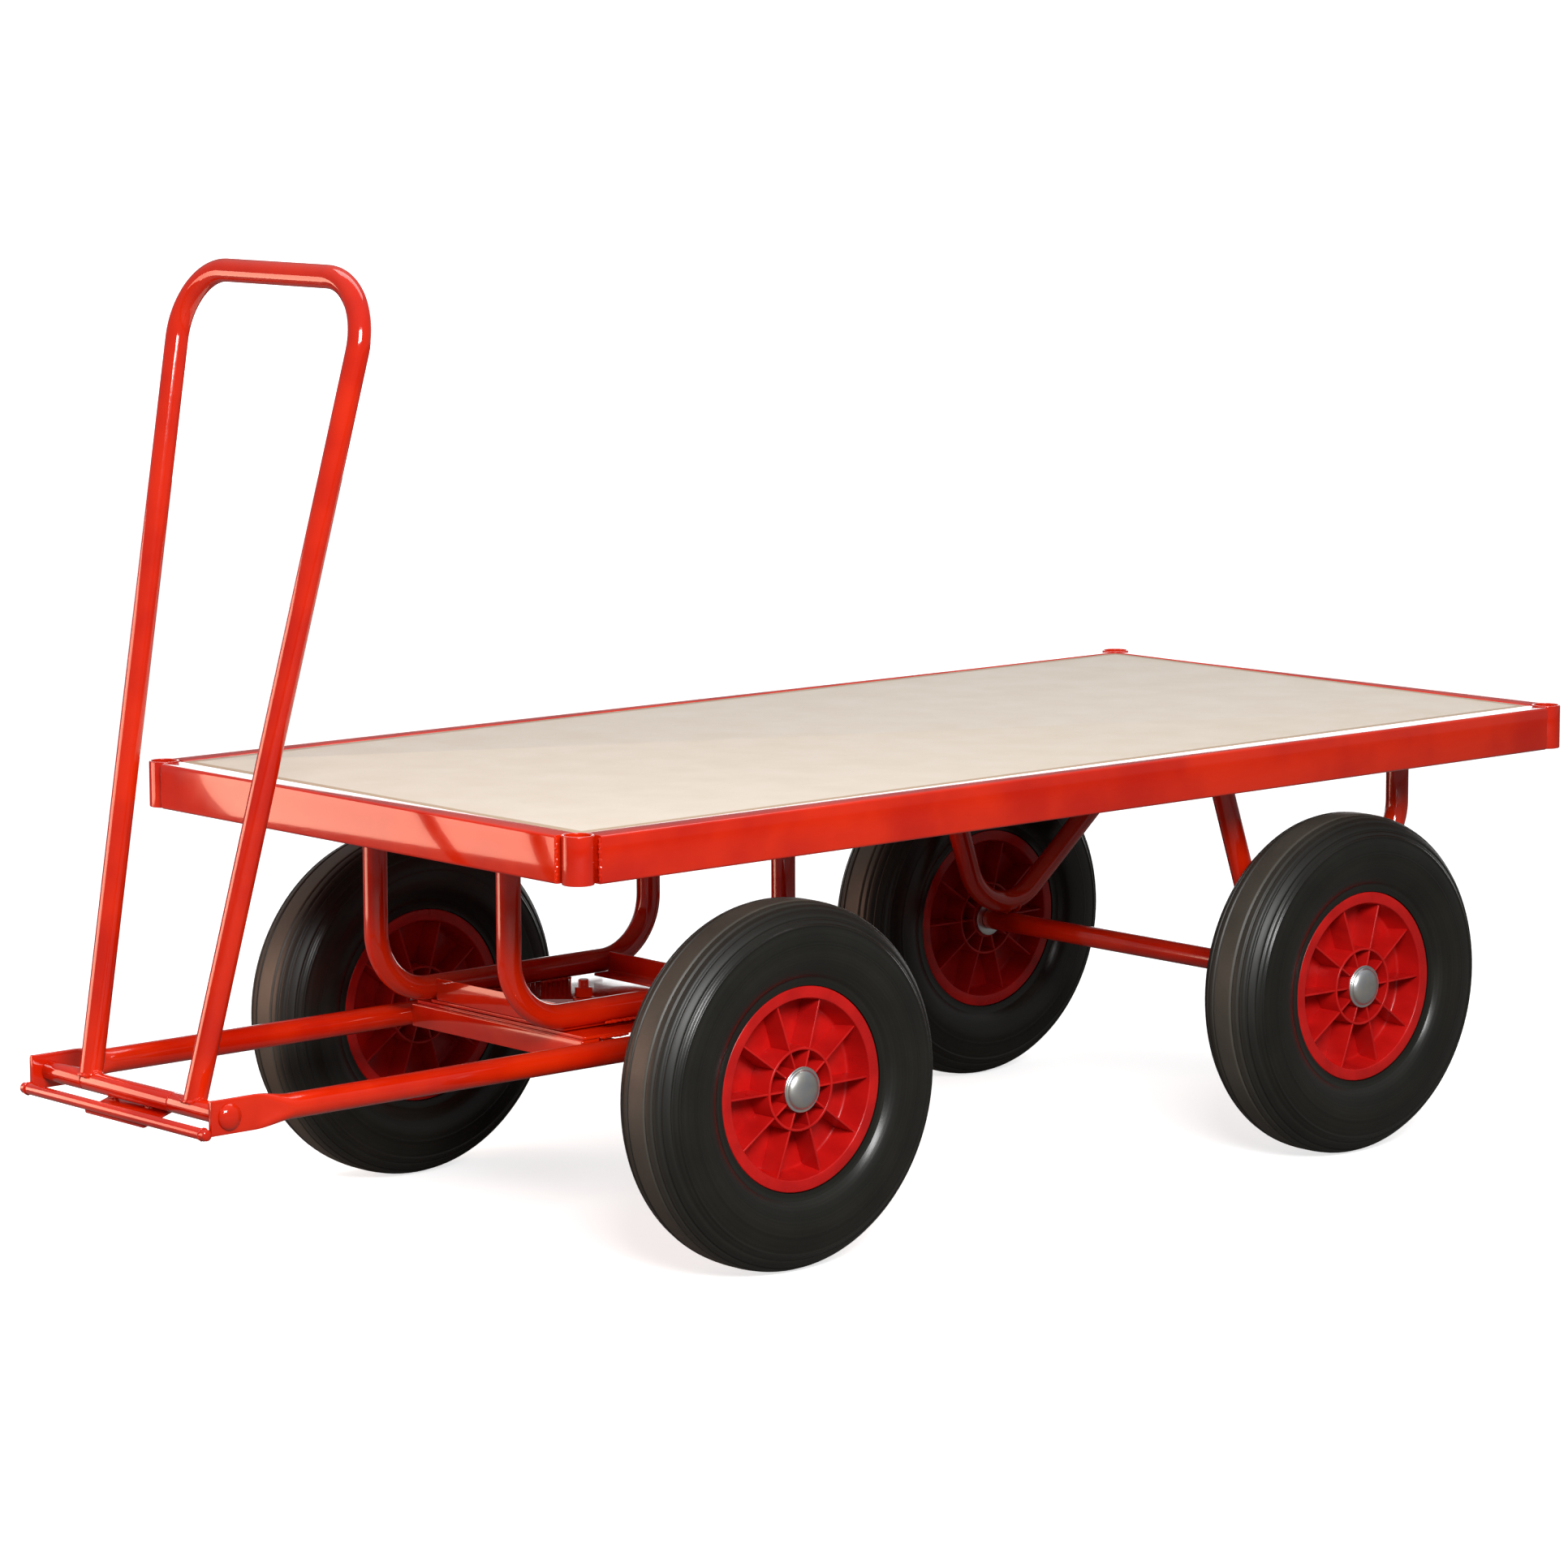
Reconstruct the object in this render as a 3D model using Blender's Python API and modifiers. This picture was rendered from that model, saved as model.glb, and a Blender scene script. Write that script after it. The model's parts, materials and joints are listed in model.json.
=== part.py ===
"""Four-wheeled platform trolley: a framed board deck, a turntable front axle and a fold-down hoop handle.

Metres, +Z up. The origin is on the floor under the middle of the whole trolley, and -X is the end it is
pulled by, so left is -Y and right is +Y. The steered parts hang from an empty on the kingpin's axis, the
handle from one on its hinge, and each wheel from one at its hub.
"""

import math

import bmesh
import bpy
from mathutils import Matrix, Vector

# Deck
DECK_LENGTH = 1.524
DECK_WIDTH = 0.762
DECK_TOP = 0.5045
RAIL_HEIGHT = 0.0505
RAIL_WIDTH = 0.030
BOARD_THICKNESS = 0.012
BOARD_BELOW_RAIL = 0.0008
BOARD_GAP = 0.0012
BEARER_WIDTH = 0.030
BEARER_HEIGHT = 0.035
SOCKET_RADIUS = 0.01685
SOCKET_WALL = 0.0026
SOCKET_RISE = 0.0008
RAIL_EDGE = 0.002
BEARER_EDGE = 0.0015

# Running gear
WHEEL_RADIUS = 0.200
AXLE_INSET = 0.320
FRONT_HALF_TRACK = 0.328
REAR_HALF_TRACK = 0.318
AXLE_RADIUS = 0.010
REAR_AXLE_RADIUS = 0.0127
PIPE_RADIUS = 0.01345

# Turntable and drawbar
HOOP_HALF_LENGTH = 0.195
HOOP_HALF_SPACING = 0.117
HOOP_BEND = 0.070
HOOP_LEAD = 0.0028
TURNTABLE_HALF_LENGTH = 0.125
PLATE_THICKNESS = 0.0032
LOWER_PLATE_INSET = 0.005
WEAR_RING_RADIUS = 0.045
WEAR_RING_THICKNESS = 0.002
DRAWBAR_HALF_SPACING = 0.162
ANGLE_LEG = 0.025
ANGLE_THICKNESS = 0.003

# Handle and its hinge
PIVOT_REACH = 0.280
EAR_FRONT = 0.022
EAR_LENGTH = 0.055
EAR_FADE = 0.045
EAR_HEIGHT = 0.037
EAR_THICKNESS = 0.0055
STOP_ROD_RADIUS = 0.006
STOP_ROD_DROP = 0.0157
HANDLE_RADIUS = 0.0125
HANDLE_LENGTH = 0.8625
HANDLE_HALF_FOOT = 0.0931
HANDLE_SPLAY = 0.0825
HANDLE_BEND = 0.070
HANDLE_LEAN = math.radians(12.75)
HANDLE_SHIFT = -0.009
SLEEVE_RADIUS = 0.01065
SLEEVE_JOINTS = (-0.0686, 0.0887)
STOP_PLATE_SLOPE = math.radians(18.5)
STOP_PLATE_HALF_WIDTH = 0.054
STOP_PLATE_THICKNESS = 0.003
STOP_PLATE_FRONT = -0.003
STOP_PLATE_REAR = 0.037
STOP_PLATE_EDGE = 0.0005
STOP_LUG_FRONT = 0.0275
STOP_LUG_REAR = 0.033
STOP_LUG_RISE = 0.0008
STOP_LUG_HALF_WIDTH = 0.004
STOP_LUG_PLACES = (-0.019, 0.047)

# M12 bolts and nuts, for the kingpin and the handle's hinge
BOLT_RADIUS = 0.006
BOLT_CHAMFER = 0.001
HEXAGON_RADIUS = 0.0104
HEAD_HEIGHT = 0.0075
NUT_HEIGHT = 0.0105
BOLT_WASHER_RADIUS = 0.012
BOLT_WASHER_THICKNESS = 0.0025
KINGPIN_THREAD_SHOWING = 0.009
CUP_HEAD_RADIUS = 0.014
CUP_HEAD_HEIGHT = 0.0075
HINGE_THREAD_SHOWING = 0.003

# Rear brackets
BRACKET_HALF_SPACING = 0.243
BRACKET_LEAD = 0.006
BRACKET_BEND = 0.066
BRACKET_FRONT_SLOPE = math.radians(19.0)
BRACKET_REAR_SLOPE = math.radians(50.0)
BRACKET_REAR_LEG = 0.176

# Wheels: sizes along the axle are from the tyre's middle plane, outboard positive
HUB_HALF_LENGTH = 0.036
HUB_RADIUS = 0.024
BUSH_RADIUS = 0.014
RIM_FLANGE_RADIUS = 0.111
RIM_BARREL_RADIUS = 0.0995
RIM_LIP = 0.0030
WEB_HALF_THICKNESS = 0.004
RIB_COUNT = 10
WASHER_THICKNESS = 0.003
CAP_RADIUS = 0.0247
TYRE_HALF_WIDTH = 0.049
TYRE_SKIN = 0.009
SIDEWALL_RADIUS = 0.151
BEAD_HEIGHT = 0.004
RIB_THICKNESS = 0.003
RIB_INSET = 0.007
BARREL_THICKNESS = 0.005
HUB_WASHER_RADIUS = 0.021
CAP_DOME_RADIUS = 0.0215
CAP_DOME_HEIGHT = 0.0085
CAP_FLANGE_THICKNESS = 0.0015

# Fits and mesh density
GAP = 0.0004
RUNNING_GAP = 0.00035
ROUND_STEPS = 16
SOCKET_STEPS = 24
BOLT_STEPS = 12
EAR_SQUARENESS = 0.35
TYRE_STEPS = 28
RIM_STEPS = 20
BEND_STEP = math.radians(15)

# Places that follow from the sizes above
STOP_ROD_AHEAD = EAR_FRONT + STOP_ROD_RADIUS + GAP
OVERALL_LENGTH = DECK_LENGTH + PIVOT_REACH + STOP_ROD_AHEAD + STOP_ROD_RADIUS
DECK_REAR = OVERALL_LENGTH / 2
DECK_FRONT = DECK_REAR - DECK_LENGTH
DECK_MIDDLE = (DECK_FRONT + DECK_REAR) / 2
RAIL_BOTTOM = DECK_TOP - RAIL_HEIGHT
BOARD_TOP = DECK_TOP - BOARD_BELOW_RAIL
BEARER_TOP = BOARD_TOP - BOARD_THICKNESS - GAP
BEARER_BOTTOM = BEARER_TOP - BEARER_HEIGHT
KINGPIN_X = DECK_FRONT + AXLE_INSET
REAR_AXLE_X = DECK_REAR - AXLE_INSET
DRAWBAR_Z = WHEEL_RADIUS + AXLE_RADIUS + PIPE_RADIUS + GAP
DRAWBAR_TOP = DRAWBAR_Z + PIPE_RADIUS
LOWER_PLATE_Z = DRAWBAR_TOP + GAP
WEAR_RING_Z = LOWER_PLATE_Z + PLATE_THICKNESS + GAP
UPPER_PLATE_Z = WEAR_RING_Z + WEAR_RING_THICKNESS + GAP
UPPER_PLATE_TOP = UPPER_PLATE_Z + PLATE_THICKNESS
HOOP_Z = UPPER_PLATE_TOP + GAP + PIPE_RADIUS
PIVOT_X = DECK_FRONT - PIVOT_REACH
PIVOT = Vector((PIVOT_X, 0.0, DRAWBAR_Z))
KINGPIN = Vector((KINGPIN_X, 0.0, UPPER_PLATE_Z))

PALETTE = {
    "red_paint": ((0.62, 0.018, 0.010), 0.22, 0.0),
    "red_plastic": ((0.60, 0.012, 0.014), 0.35, 0.0),
    "tyre_rubber": ((0.022, 0.023, 0.022), 0.55, 0.0),
    "deck_board": ((0.80, 0.71, 0.56), 0.55, 0.0),
    "bright_zinc": ((0.82, 0.83, 0.84), 0.18, 1.0),
    "bush_nylon": ((0.75, 0.74, 0.70), 0.50, 0.0),
}


def clear_scene():
    for obj in list(bpy.data.objects):
        bpy.data.objects.remove(obj, do_unlink=True)


def new_collection(name, hidden=False):
    collection = bpy.data.collections.new(name)
    bpy.context.scene.collection.children.link(collection)
    collection.hide_render = hidden
    return collection


def make_material(name):
    colour, roughness, metallic = PALETTE[name]
    material = bpy.data.materials.new(name)
    material.use_nodes = True
    shader = material.node_tree.nodes["Principled BSDF"]
    shader.inputs["Base Color"].default_value = (*colour, 1.0)
    shader.inputs["Roughness"].default_value = roughness
    shader.inputs["Metallic"].default_value = metallic
    return material


class Workshop:
    """The collections and finishes that the pieces are made with."""

    def __init__(self):
        self.parts = new_collection("platform_trolley")
        self.cutters = new_collection("cutters", hidden=True)
        self.finishes = {name: make_material(name) for name in PALETTE}

    def axis(self, name, location, parent=None):
        """An empty on a joint's axis, which its pieces are parented to."""
        empty = bpy.data.objects.new(name, None)
        empty.empty_display_size = 0.05
        self.parts.objects.link(empty)
        hang(empty, Vector(location), parent)
        return empty

    def add(self, name, data, finish, location=(0, 0, 0), parent=None, rotation=(0, 0, 0)):
        obj = bpy.data.objects.new(name, data)
        data.materials.append(self.finishes[finish])
        self.parts.objects.link(obj)
        obj.rotation_euler = rotation
        hang(obj, Vector(location), parent)
        return obj

    def cutter(self, name, data):
        obj = bpy.data.objects.new(name, data)
        self.cutters.objects.link(obj)
        obj.hide_render = True
        obj.display_type = "WIRE"
        return obj


def hang(obj, location, parent):
    """Parents an object and puts it at a place given in world coordinates."""
    obj.parent = parent
    origin = Vector()
    while parent is not None:
        origin += parent.location
        parent = parent.parent
    obj.location = location - origin


def shade(mesh, angle=35):
    mesh.shade_smooth()
    mesh.set_sharp_from_angle(angle=math.radians(angle))
    return mesh


def box_mesh(name, low, high, origin=(0, 0, 0), bevel=0.0):
    """A box between two world corners, with its mesh's zero at the origin given."""
    mesh = bpy.data.meshes.new(name)
    bm = bmesh.new()
    bmesh.ops.create_cube(bm, size=1.0)
    low, high, origin = Vector(low), Vector(high), Vector(origin)
    bmesh.ops.scale(bm, vec=high - low, verts=bm.verts)
    bmesh.ops.translate(bm, vec=(low + high) / 2 - origin, verts=bm.verts)
    if bevel:
        bmesh.ops.bevel(bm, geom=bm.edges[:], offset=bevel, segments=1, profile=0.7, affect="EDGES")
    bm.to_mesh(mesh)
    bm.free()
    return mesh


def cylinder_mesh(name, radius, depth, segments=ROUND_STEPS, location=(0, 0, 0)):
    """A closed cylinder, or a prism of few segments, standing on its location along Z."""
    mesh = bpy.data.meshes.new(name)
    bm = bmesh.new()
    bmesh.ops.create_cone(
        bm, cap_ends=True, segments=segments, radius1=radius, radius2=radius, depth=depth
    )
    bmesh.ops.translate(bm, vec=Vector(location) + Vector((0, 0, depth / 2)), verts=bm.verts)
    bm.to_mesh(mesh)
    bm.free()
    return shade(mesh)


def turn(obj, steps):
    """Turns an object's profile about its own Z axis."""
    screw = obj.modifiers.new("turn", "SCREW")
    screw.axis = "Z"
    screw.steps = screw.render_steps = steps
    screw.use_merge_vertices = True
    screw.merge_threshold = 0.00001
    screw.use_smooth_shade = True
    return obj


def profile_mesh(name, points, closed):
    """A half section of (radius, height) points. A closed one is set to run down its outer side."""
    if closed:
        pairs = zip(points, points[1:] + points[:1])
        if sum(a[0] * b[1] - b[0] * a[1] for a, b in pairs) > 0:
            points = points[::-1]
    mesh = bpy.data.meshes.new(name)
    count = len(points)
    edges = [(i, (i + 1) % count) for i in range(count if closed else count - 1)]
    mesh.from_pydata([(radius, 0.0, height) for radius, height in points], edges, [])
    return mesh


def ring_profile(inner, outer, low, high):
    return [(inner, low), (inner, high), (outer, high), (outer, low)]


def combine(obj, cutter, operation="DIFFERENCE"):
    """Cuts the cutter's shape out of an object, or joins it on with a UNION."""
    boolean = obj.modifiers.new(cutter.name, "BOOLEAN")
    boolean.operation = operation
    boolean.solver = "EXACT"
    boolean.object = cutter


def rounded_route(corners, bend):
    """The points of a bent tube's centre line: straight runs joined by arcs of one radius."""
    route = [corners[0]]
    for before, corner, after in zip(corners, corners[1:], corners[2:]):
        inward = (before - corner).normalized()
        outward = (after - corner).normalized()
        half_angle = inward.angle(outward) / 2
        turn_angle = math.pi - 2 * half_angle
        centre = corner + (inward + outward).normalized() * (bend / math.sin(half_angle))
        start = corner + inward * (bend / math.tan(half_angle)) - centre
        side = -inward * bend
        steps = max(2, round(turn_angle / BEND_STEP))
        for step in range(steps + 1):
            angle = turn_angle * step / steps
            route.append(centre + start * math.cos(angle) + side * math.sin(angle))
    route.append(corners[-1])
    return route


def tube_curve(name, route, radius, origin=(0, 0, 0), resolution=4):
    """A round tube or bar along a route of world points."""
    curve = bpy.data.curves.new(name, "CURVE")
    curve.dimensions = "3D"
    curve.bevel_depth = radius
    curve.bevel_resolution = resolution
    curve.use_fill_caps = True
    spline = curve.splines.new("POLY")
    spline.points.add(len(route) - 1)
    for point, place in zip(spline.points, route):
        point.co = (*(Vector(place) - Vector(origin)), 1.0)
    return curve


def side_name(side):
    return "left" if side < 0 else "right"


def build_deck(shop):
    """The welded rail frame, its corner sockets, the bearers across it and the board on them."""
    half_width = DECK_WIDTH / 2
    socket_x = (DECK_FRONT + SOCKET_RADIUS, DECK_REAR - SOCKET_RADIUS)
    socket_y = half_width - SOCKET_RADIUS
    clear = SOCKET_RADIUS + GAP
    for side in (-1, 1):
        inner, outer = side * (half_width - RAIL_WIDTH), side * half_width
        low = (socket_x[0] + clear, min(inner, outer), RAIL_BOTTOM)
        high = (socket_x[1] - clear, max(inner, outer), DECK_TOP)
        name = f"{side_name(side)}_rail"
        shop.add(name, box_mesh(name, low, high, bevel=RAIL_EDGE), "red_paint")
    for name, near, far in (
        ("front_rail", DECK_FRONT, DECK_FRONT + RAIL_WIDTH),
        ("rear_rail", DECK_REAR - RAIL_WIDTH, DECK_REAR),
    ):
        low = (near, clear - socket_y, RAIL_BOTTOM)
        high = (far, socket_y - clear, DECK_TOP)
        shop.add(name, box_mesh(name, low, high, bevel=RAIL_EDGE), "red_paint")
    bore = SOCKET_RADIUS - SOCKET_WALL
    section = ring_profile(bore, SOCKET_RADIUS, RAIL_BOTTOM, DECK_TOP + SOCKET_RISE)
    socket = profile_mesh("corner_socket", section, True)
    for end, x in zip(("front", "rear"), socket_x):
        for side in (-1, 1):
            name = f"{end}_{side_name(side)}_socket"
            place = (x, side * socket_y, 0)
            turn(shop.add(name, socket.copy(), "red_paint", place), SOCKET_STEPS)
    inner_front, inner_rear = DECK_FRONT + RAIL_WIDTH, DECK_REAR - RAIL_WIDTH
    inner_side = half_width - RAIL_WIDTH
    low = (inner_front + BOARD_GAP, BOARD_GAP - inner_side, BOARD_TOP - BOARD_THICKNESS)
    high = (inner_rear - BOARD_GAP, inner_side - BOARD_GAP, BOARD_TOP)
    shop.add("deck_board", box_mesh("deck_board", low, high), "deck_board")
    for index, x in enumerate(bearer_places(), start=1):
        name = f"bearer_{index}"
        low = (x - BEARER_WIDTH / 2, GAP - inner_side, BEARER_BOTTOM)
        high = (x + BEARER_WIDTH / 2, inner_side - GAP, BEARER_TOP)
        shop.add(name, box_mesh(name, low, high, bevel=BEARER_EDGE), "red_paint")


def bearer_places():
    """Bearers stand over the legs that hang from them: the hoops' in front, the brackets' behind."""
    bracket = bracket_corners(0)
    return (*hoop_legs(), bracket[0].x, bracket[-1].x)


def hoop_legs():
    """Where the front hoops' legs stand along the trolley, a little ahead of even about the kingpin."""
    middle = KINGPIN_X - HOOP_LEAD
    return middle - HOOP_HALF_LENGTH, middle + HOOP_HALF_LENGTH


def bracket_corners(y):
    """The rear bracket's corners: a raked front leg, the foot on the axle, a steeper run and a short post."""
    foot_x = REAR_AXLE_X - BRACKET_LEAD
    foot_z = WHEEL_RADIUS + REAR_AXLE_RADIUS + PIPE_RADIUS + GAP
    front, rear = BRACKET_FRONT_SLOPE, BRACKET_REAR_SLOPE
    # The two straight runs leave the foot's arc where its direction matches theirs.
    centre = Vector((foot_x, y, foot_z + BRACKET_BEND))
    front_end = centre + BRACKET_BEND * Vector((-math.cos(front), 0, -math.sin(front)))
    rear_end = centre + BRACKET_BEND * Vector((math.cos(rear), 0, -math.sin(rear)))
    front_way = Vector((-math.sin(front), 0, math.cos(front)))
    rear_way = Vector((math.sin(rear), 0, math.cos(rear)))
    top = BEARER_BOTTOM - GAP
    raked_top = top - PIPE_RADIUS * math.sin(front)
    front_top = front_end + front_way * ((raked_top - front_end.z) / front_way.z)
    knee = rear_end + rear_way * ((REAR_AXLE_X + BRACKET_REAR_LEG - rear_end.x) / rear_way.x)
    # The corner where both runs would meet below the arc.
    gap = rear_end - front_end
    cross = front_way.x * rear_way.z - front_way.z * rear_way.x
    along = (gap.x * rear_way.z - gap.z * rear_way.x) / cross
    return [front_top, front_end + front_way * along, knee, Vector((knee.x, y, top))]


def build_hoops(shop):
    """The two U-shaped tubes under the front of the deck, which carry the turntable."""
    for side in (-1, 1):
        y = side * HOOP_HALF_SPACING
        top = BEARER_BOTTOM - GAP
        front, rear = hoop_legs()
        places = ((front, top), (front, HOOP_Z), (rear, HOOP_Z), (rear, top))
        corners = [Vector((x, y, z)) for x, z in places]
        name = f"front_hoop_{side_name(side)}"
        shop.add(name, tube_curve(name, rounded_route(corners, HOOP_BEND), PIPE_RADIUS), "red_paint")


def build_brackets(shop):
    """The bent tubes that hold the rear axle, and the axle with its turned-down ends."""
    for side in (-1, 1):
        y = side * BRACKET_HALF_SPACING
        name = f"rear_bracket_{side_name(side)}"
        route = rounded_route(bracket_corners(y), BRACKET_BEND)
        shop.add(name, tube_curve(name, route, PIPE_RADIUS), "red_paint")
    shoulder = REAR_HALF_TRACK - HUB_HALF_LENGTH - GAP
    end = REAR_HALF_TRACK + HUB_HALF_LENGTH
    profile = [
        (0, end),
        (AXLE_RADIUS, end),
        (AXLE_RADIUS, shoulder - WASHER_THICKNESS - GAP),
        (REAR_AXLE_RADIUS, shoulder - WASHER_THICKNESS - GAP),
    ]
    profile += [(radius, -height) for radius, height in reversed(profile)]
    mesh = profile_mesh("rear_axle", profile, False)
    place = (REAR_AXLE_X, 0, WHEEL_RADIUS)
    turn(shop.add("rear_axle", mesh, "red_paint", place, rotation=(math.pi / 2, 0, 0)), ROUND_STEPS)


def angle_mesh(name, x, way, half_width, corner_z, up):
    """An angle section across the trolley: a standing leg at x and a flat leg going the way given.

    Its corner is at corner_z, and the standing leg goes up or down from there.
    """
    outline = [(0, 0), (ANGLE_LEG, 0), (ANGLE_LEG, ANGLE_THICKNESS)]
    outline += [(ANGLE_THICKNESS, ANGLE_THICKNESS), (ANGLE_THICKNESS, ANGLE_LEG), (0, ANGLE_LEG)]
    mesh = bpy.data.meshes.new(name)
    bm = bmesh.new()
    verts = [bm.verts.new((x + way * a, -half_width, corner_z + up * b)) for a, b in outline]
    face = bm.faces.new(verts)
    pushed = bmesh.ops.extrude_face_region(bm, geom=[face])
    moved = [item for item in pushed["geom"] if isinstance(item, bmesh.types.BMVert)]
    bmesh.ops.translate(bm, vec=(0, 2 * half_width, 0), verts=moved)
    bmesh.ops.recalc_face_normals(bm, faces=bm.faces)
    bm.to_mesh(mesh)
    bm.free()
    return mesh


def drilled_plate(shop, name, low, high, origin, parent):
    """A plate with the kingpin's hole through it."""
    plate = shop.add(name, box_mesh(name, low, high, origin), "red_paint", origin, parent)
    depth = 3 * PLATE_THICKNESS
    start = ((low[2] + high[2]) / 2 - depth / 2) - origin[2]
    hole = cylinder_mesh(f"{name}_hole", BOLT_RADIUS + RUNNING_GAP, depth, location=(0, 0, start))
    cutter = shop.cutter(f"{name}_hole", hole)
    cutter.location = origin
    combine(plate, cutter)
    return plate


def build_turntable(shop, steering):
    """The upper plate in its tray, the lower plate on the drawbar, and the kingpin through both."""
    x, reach = KINGPIN_X, TURNTABLE_HALF_LENGTH
    width = HOOP_HALF_SPACING - GAP
    upper_low = (x - reach, -width, UPPER_PLATE_Z)
    upper_high = (x + reach, width, UPPER_PLATE_TOP)
    drilled_plate(shop, "turntable_upper_plate", upper_low, upper_high, KINGPIN, None)
    tray_half = HOOP_HALF_SPACING - PIPE_RADIUS - GAP
    for end, way in (("front", 1), ("rear", -1)):
        name = f"tray_angle_{end}"
        mesh = angle_mesh(name, x - way * reach, way, tray_half, UPPER_PLATE_TOP + GAP, 1)
        shop.add(name, mesh, "red_paint")
    lower_half = DRAWBAR_HALF_SPACING - PIPE_RADIUS - GAP
    lower_reach = reach - LOWER_PLATE_INSET
    lower_low = (x - lower_reach, -lower_half, LOWER_PLATE_Z)
    lower_high = (x + lower_reach, lower_half, LOWER_PLATE_Z + PLATE_THICKNESS)
    drilled_plate(shop, "turntable_lower_plate", lower_low, lower_high, KINGPIN, steering)
    for end, way in (("front", 1), ("rear", -1)):
        name = f"drawbar_cross_{end}"
        mesh = angle_mesh(name, -way * reach, way, lower_half, DRAWBAR_TOP - KINGPIN.z, -1)
        shop.add(name, mesh, "red_paint", KINGPIN, steering)
    section = ring_profile(BOLT_RADIUS + RUNNING_GAP, WEAR_RING_RADIUS, 0, WEAR_RING_THICKNESS)
    ring = profile_mesh("turntable_wear_ring", section, True)
    place = (x, 0, WEAR_RING_Z)
    turn(shop.add("turntable_wear_ring", ring, "bush_nylon", place, steering), SOCKET_STEPS)
    build_kingpin(shop)


def build_kingpin(shop):
    """A hexagon bolt up through the turntable, with a washer and a nut in the tray."""
    washer_z = UPPER_PLATE_TOP + GAP
    section = ring_profile(BOLT_RADIUS + GAP, BOLT_WASHER_RADIUS, 0, BOLT_WASHER_THICKNESS)
    washer = profile_mesh("kingpin_washer", section, True)
    turn(shop.add("kingpin_washer", washer, "red_paint", (KINGPIN_X, 0, washer_z)), ROUND_STEPS)
    nut_place = Vector((KINGPIN_X, 0, washer_z + BOLT_WASHER_THICKNESS + GAP))
    add_nut(shop, "kingpin_nut", nut_place, Vector((0, 0, 1)), None)
    head_top = LOWER_PLATE_Z - GAP
    head_bottom = head_top - HEAD_HEIGHT
    bolt_top = nut_place.z + NUT_HEIGHT + KINGPIN_THREAD_SHOWING
    profile = [
        (0, bolt_top),
        (BOLT_RADIUS - BOLT_CHAMFER, bolt_top),
        (BOLT_RADIUS, bolt_top - BOLT_CHAMFER),
        (BOLT_RADIUS, head_top),
        (HEXAGON_RADIUS, head_top),
        (HEXAGON_RADIUS, head_bottom),
        (0, head_bottom),
    ]
    mesh = profile_mesh("kingpin_bolt", profile, False)
    turn(shop.add("kingpin_bolt", mesh, "red_paint", (KINGPIN_X, 0, 0)), BOLT_STEPS)


def add_nut(shop, name, place, way, parent):
    """A drilled hexagon nut standing on its place, its thread along the way given."""
    turned = Vector((0, 0, 1)).rotation_difference(way).to_euler()
    mesh = cylinder_mesh(name, HEXAGON_RADIUS, NUT_HEIGHT, 6)
    nut = shop.add(name, mesh, "red_paint", place, parent, turned)
    thread = shop.cutter(f"{name}_thread", cylinder_mesh(f"{name}_thread", BOLT_RADIUS + GAP, 3 * NUT_HEIGHT))
    thread.rotation_euler = turned
    thread.location = place - way * NUT_HEIGHT
    combine(nut, thread)


def drawbar_mesh(name, y):
    """A tube along X whose front end is pressed flat into an ear: superellipse rings, from round to flat."""
    ear_end = PIVOT_X - EAR_FRONT
    flat_end = ear_end + EAR_LENGTH
    tail = KINGPIN_X + TURNTABLE_HALF_LENGTH
    fades = [(flat_end + EAR_FADE * t, t * t * (3 - 2 * t)) for t in (0, 0.2, 0.4, 0.6, 0.8, 1)]
    stations = [(ear_end, 0.0), *fades, (tail, 1.0)]
    bm = bmesh.new()
    rings = []
    for x, roundness in stations:
        half_y = EAR_THICKNESS / 2 + (PIPE_RADIUS - EAR_THICKNESS / 2) * roundness
        half_z = EAR_HEIGHT / 2 + (PIPE_RADIUS - EAR_HEIGHT / 2) * roundness
        power = EAR_SQUARENESS + (1 - EAR_SQUARENESS) * roundness
        ring = []
        for index in range(ROUND_STEPS):
            angle = 2 * math.pi * (index + 0.5) / ROUND_STEPS
            across, up = math.cos(angle), math.sin(angle)
            point_y = y + half_y * math.copysign(abs(across) ** power, across)
            point_z = DRAWBAR_Z + half_z * math.copysign(abs(up) ** power, up)
            ring.append(bm.verts.new((x - KINGPIN.x, point_y, point_z - KINGPIN.z)))
        rings.append(ring)
    for ring, following in zip(rings, rings[1:]):
        for index in range(ROUND_STEPS):
            after = (index + 1) % ROUND_STEPS
            bm.faces.new((ring[index], ring[after], following[after], following[index]))
    bm.faces.new(rings[0])
    bm.faces.new(rings[-1])
    bmesh.ops.recalc_face_normals(bm, faces=bm.faces)
    mesh = bpy.data.meshes.new(name)
    bm.to_mesh(mesh)
    bm.free()
    return shade(mesh)


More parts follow.
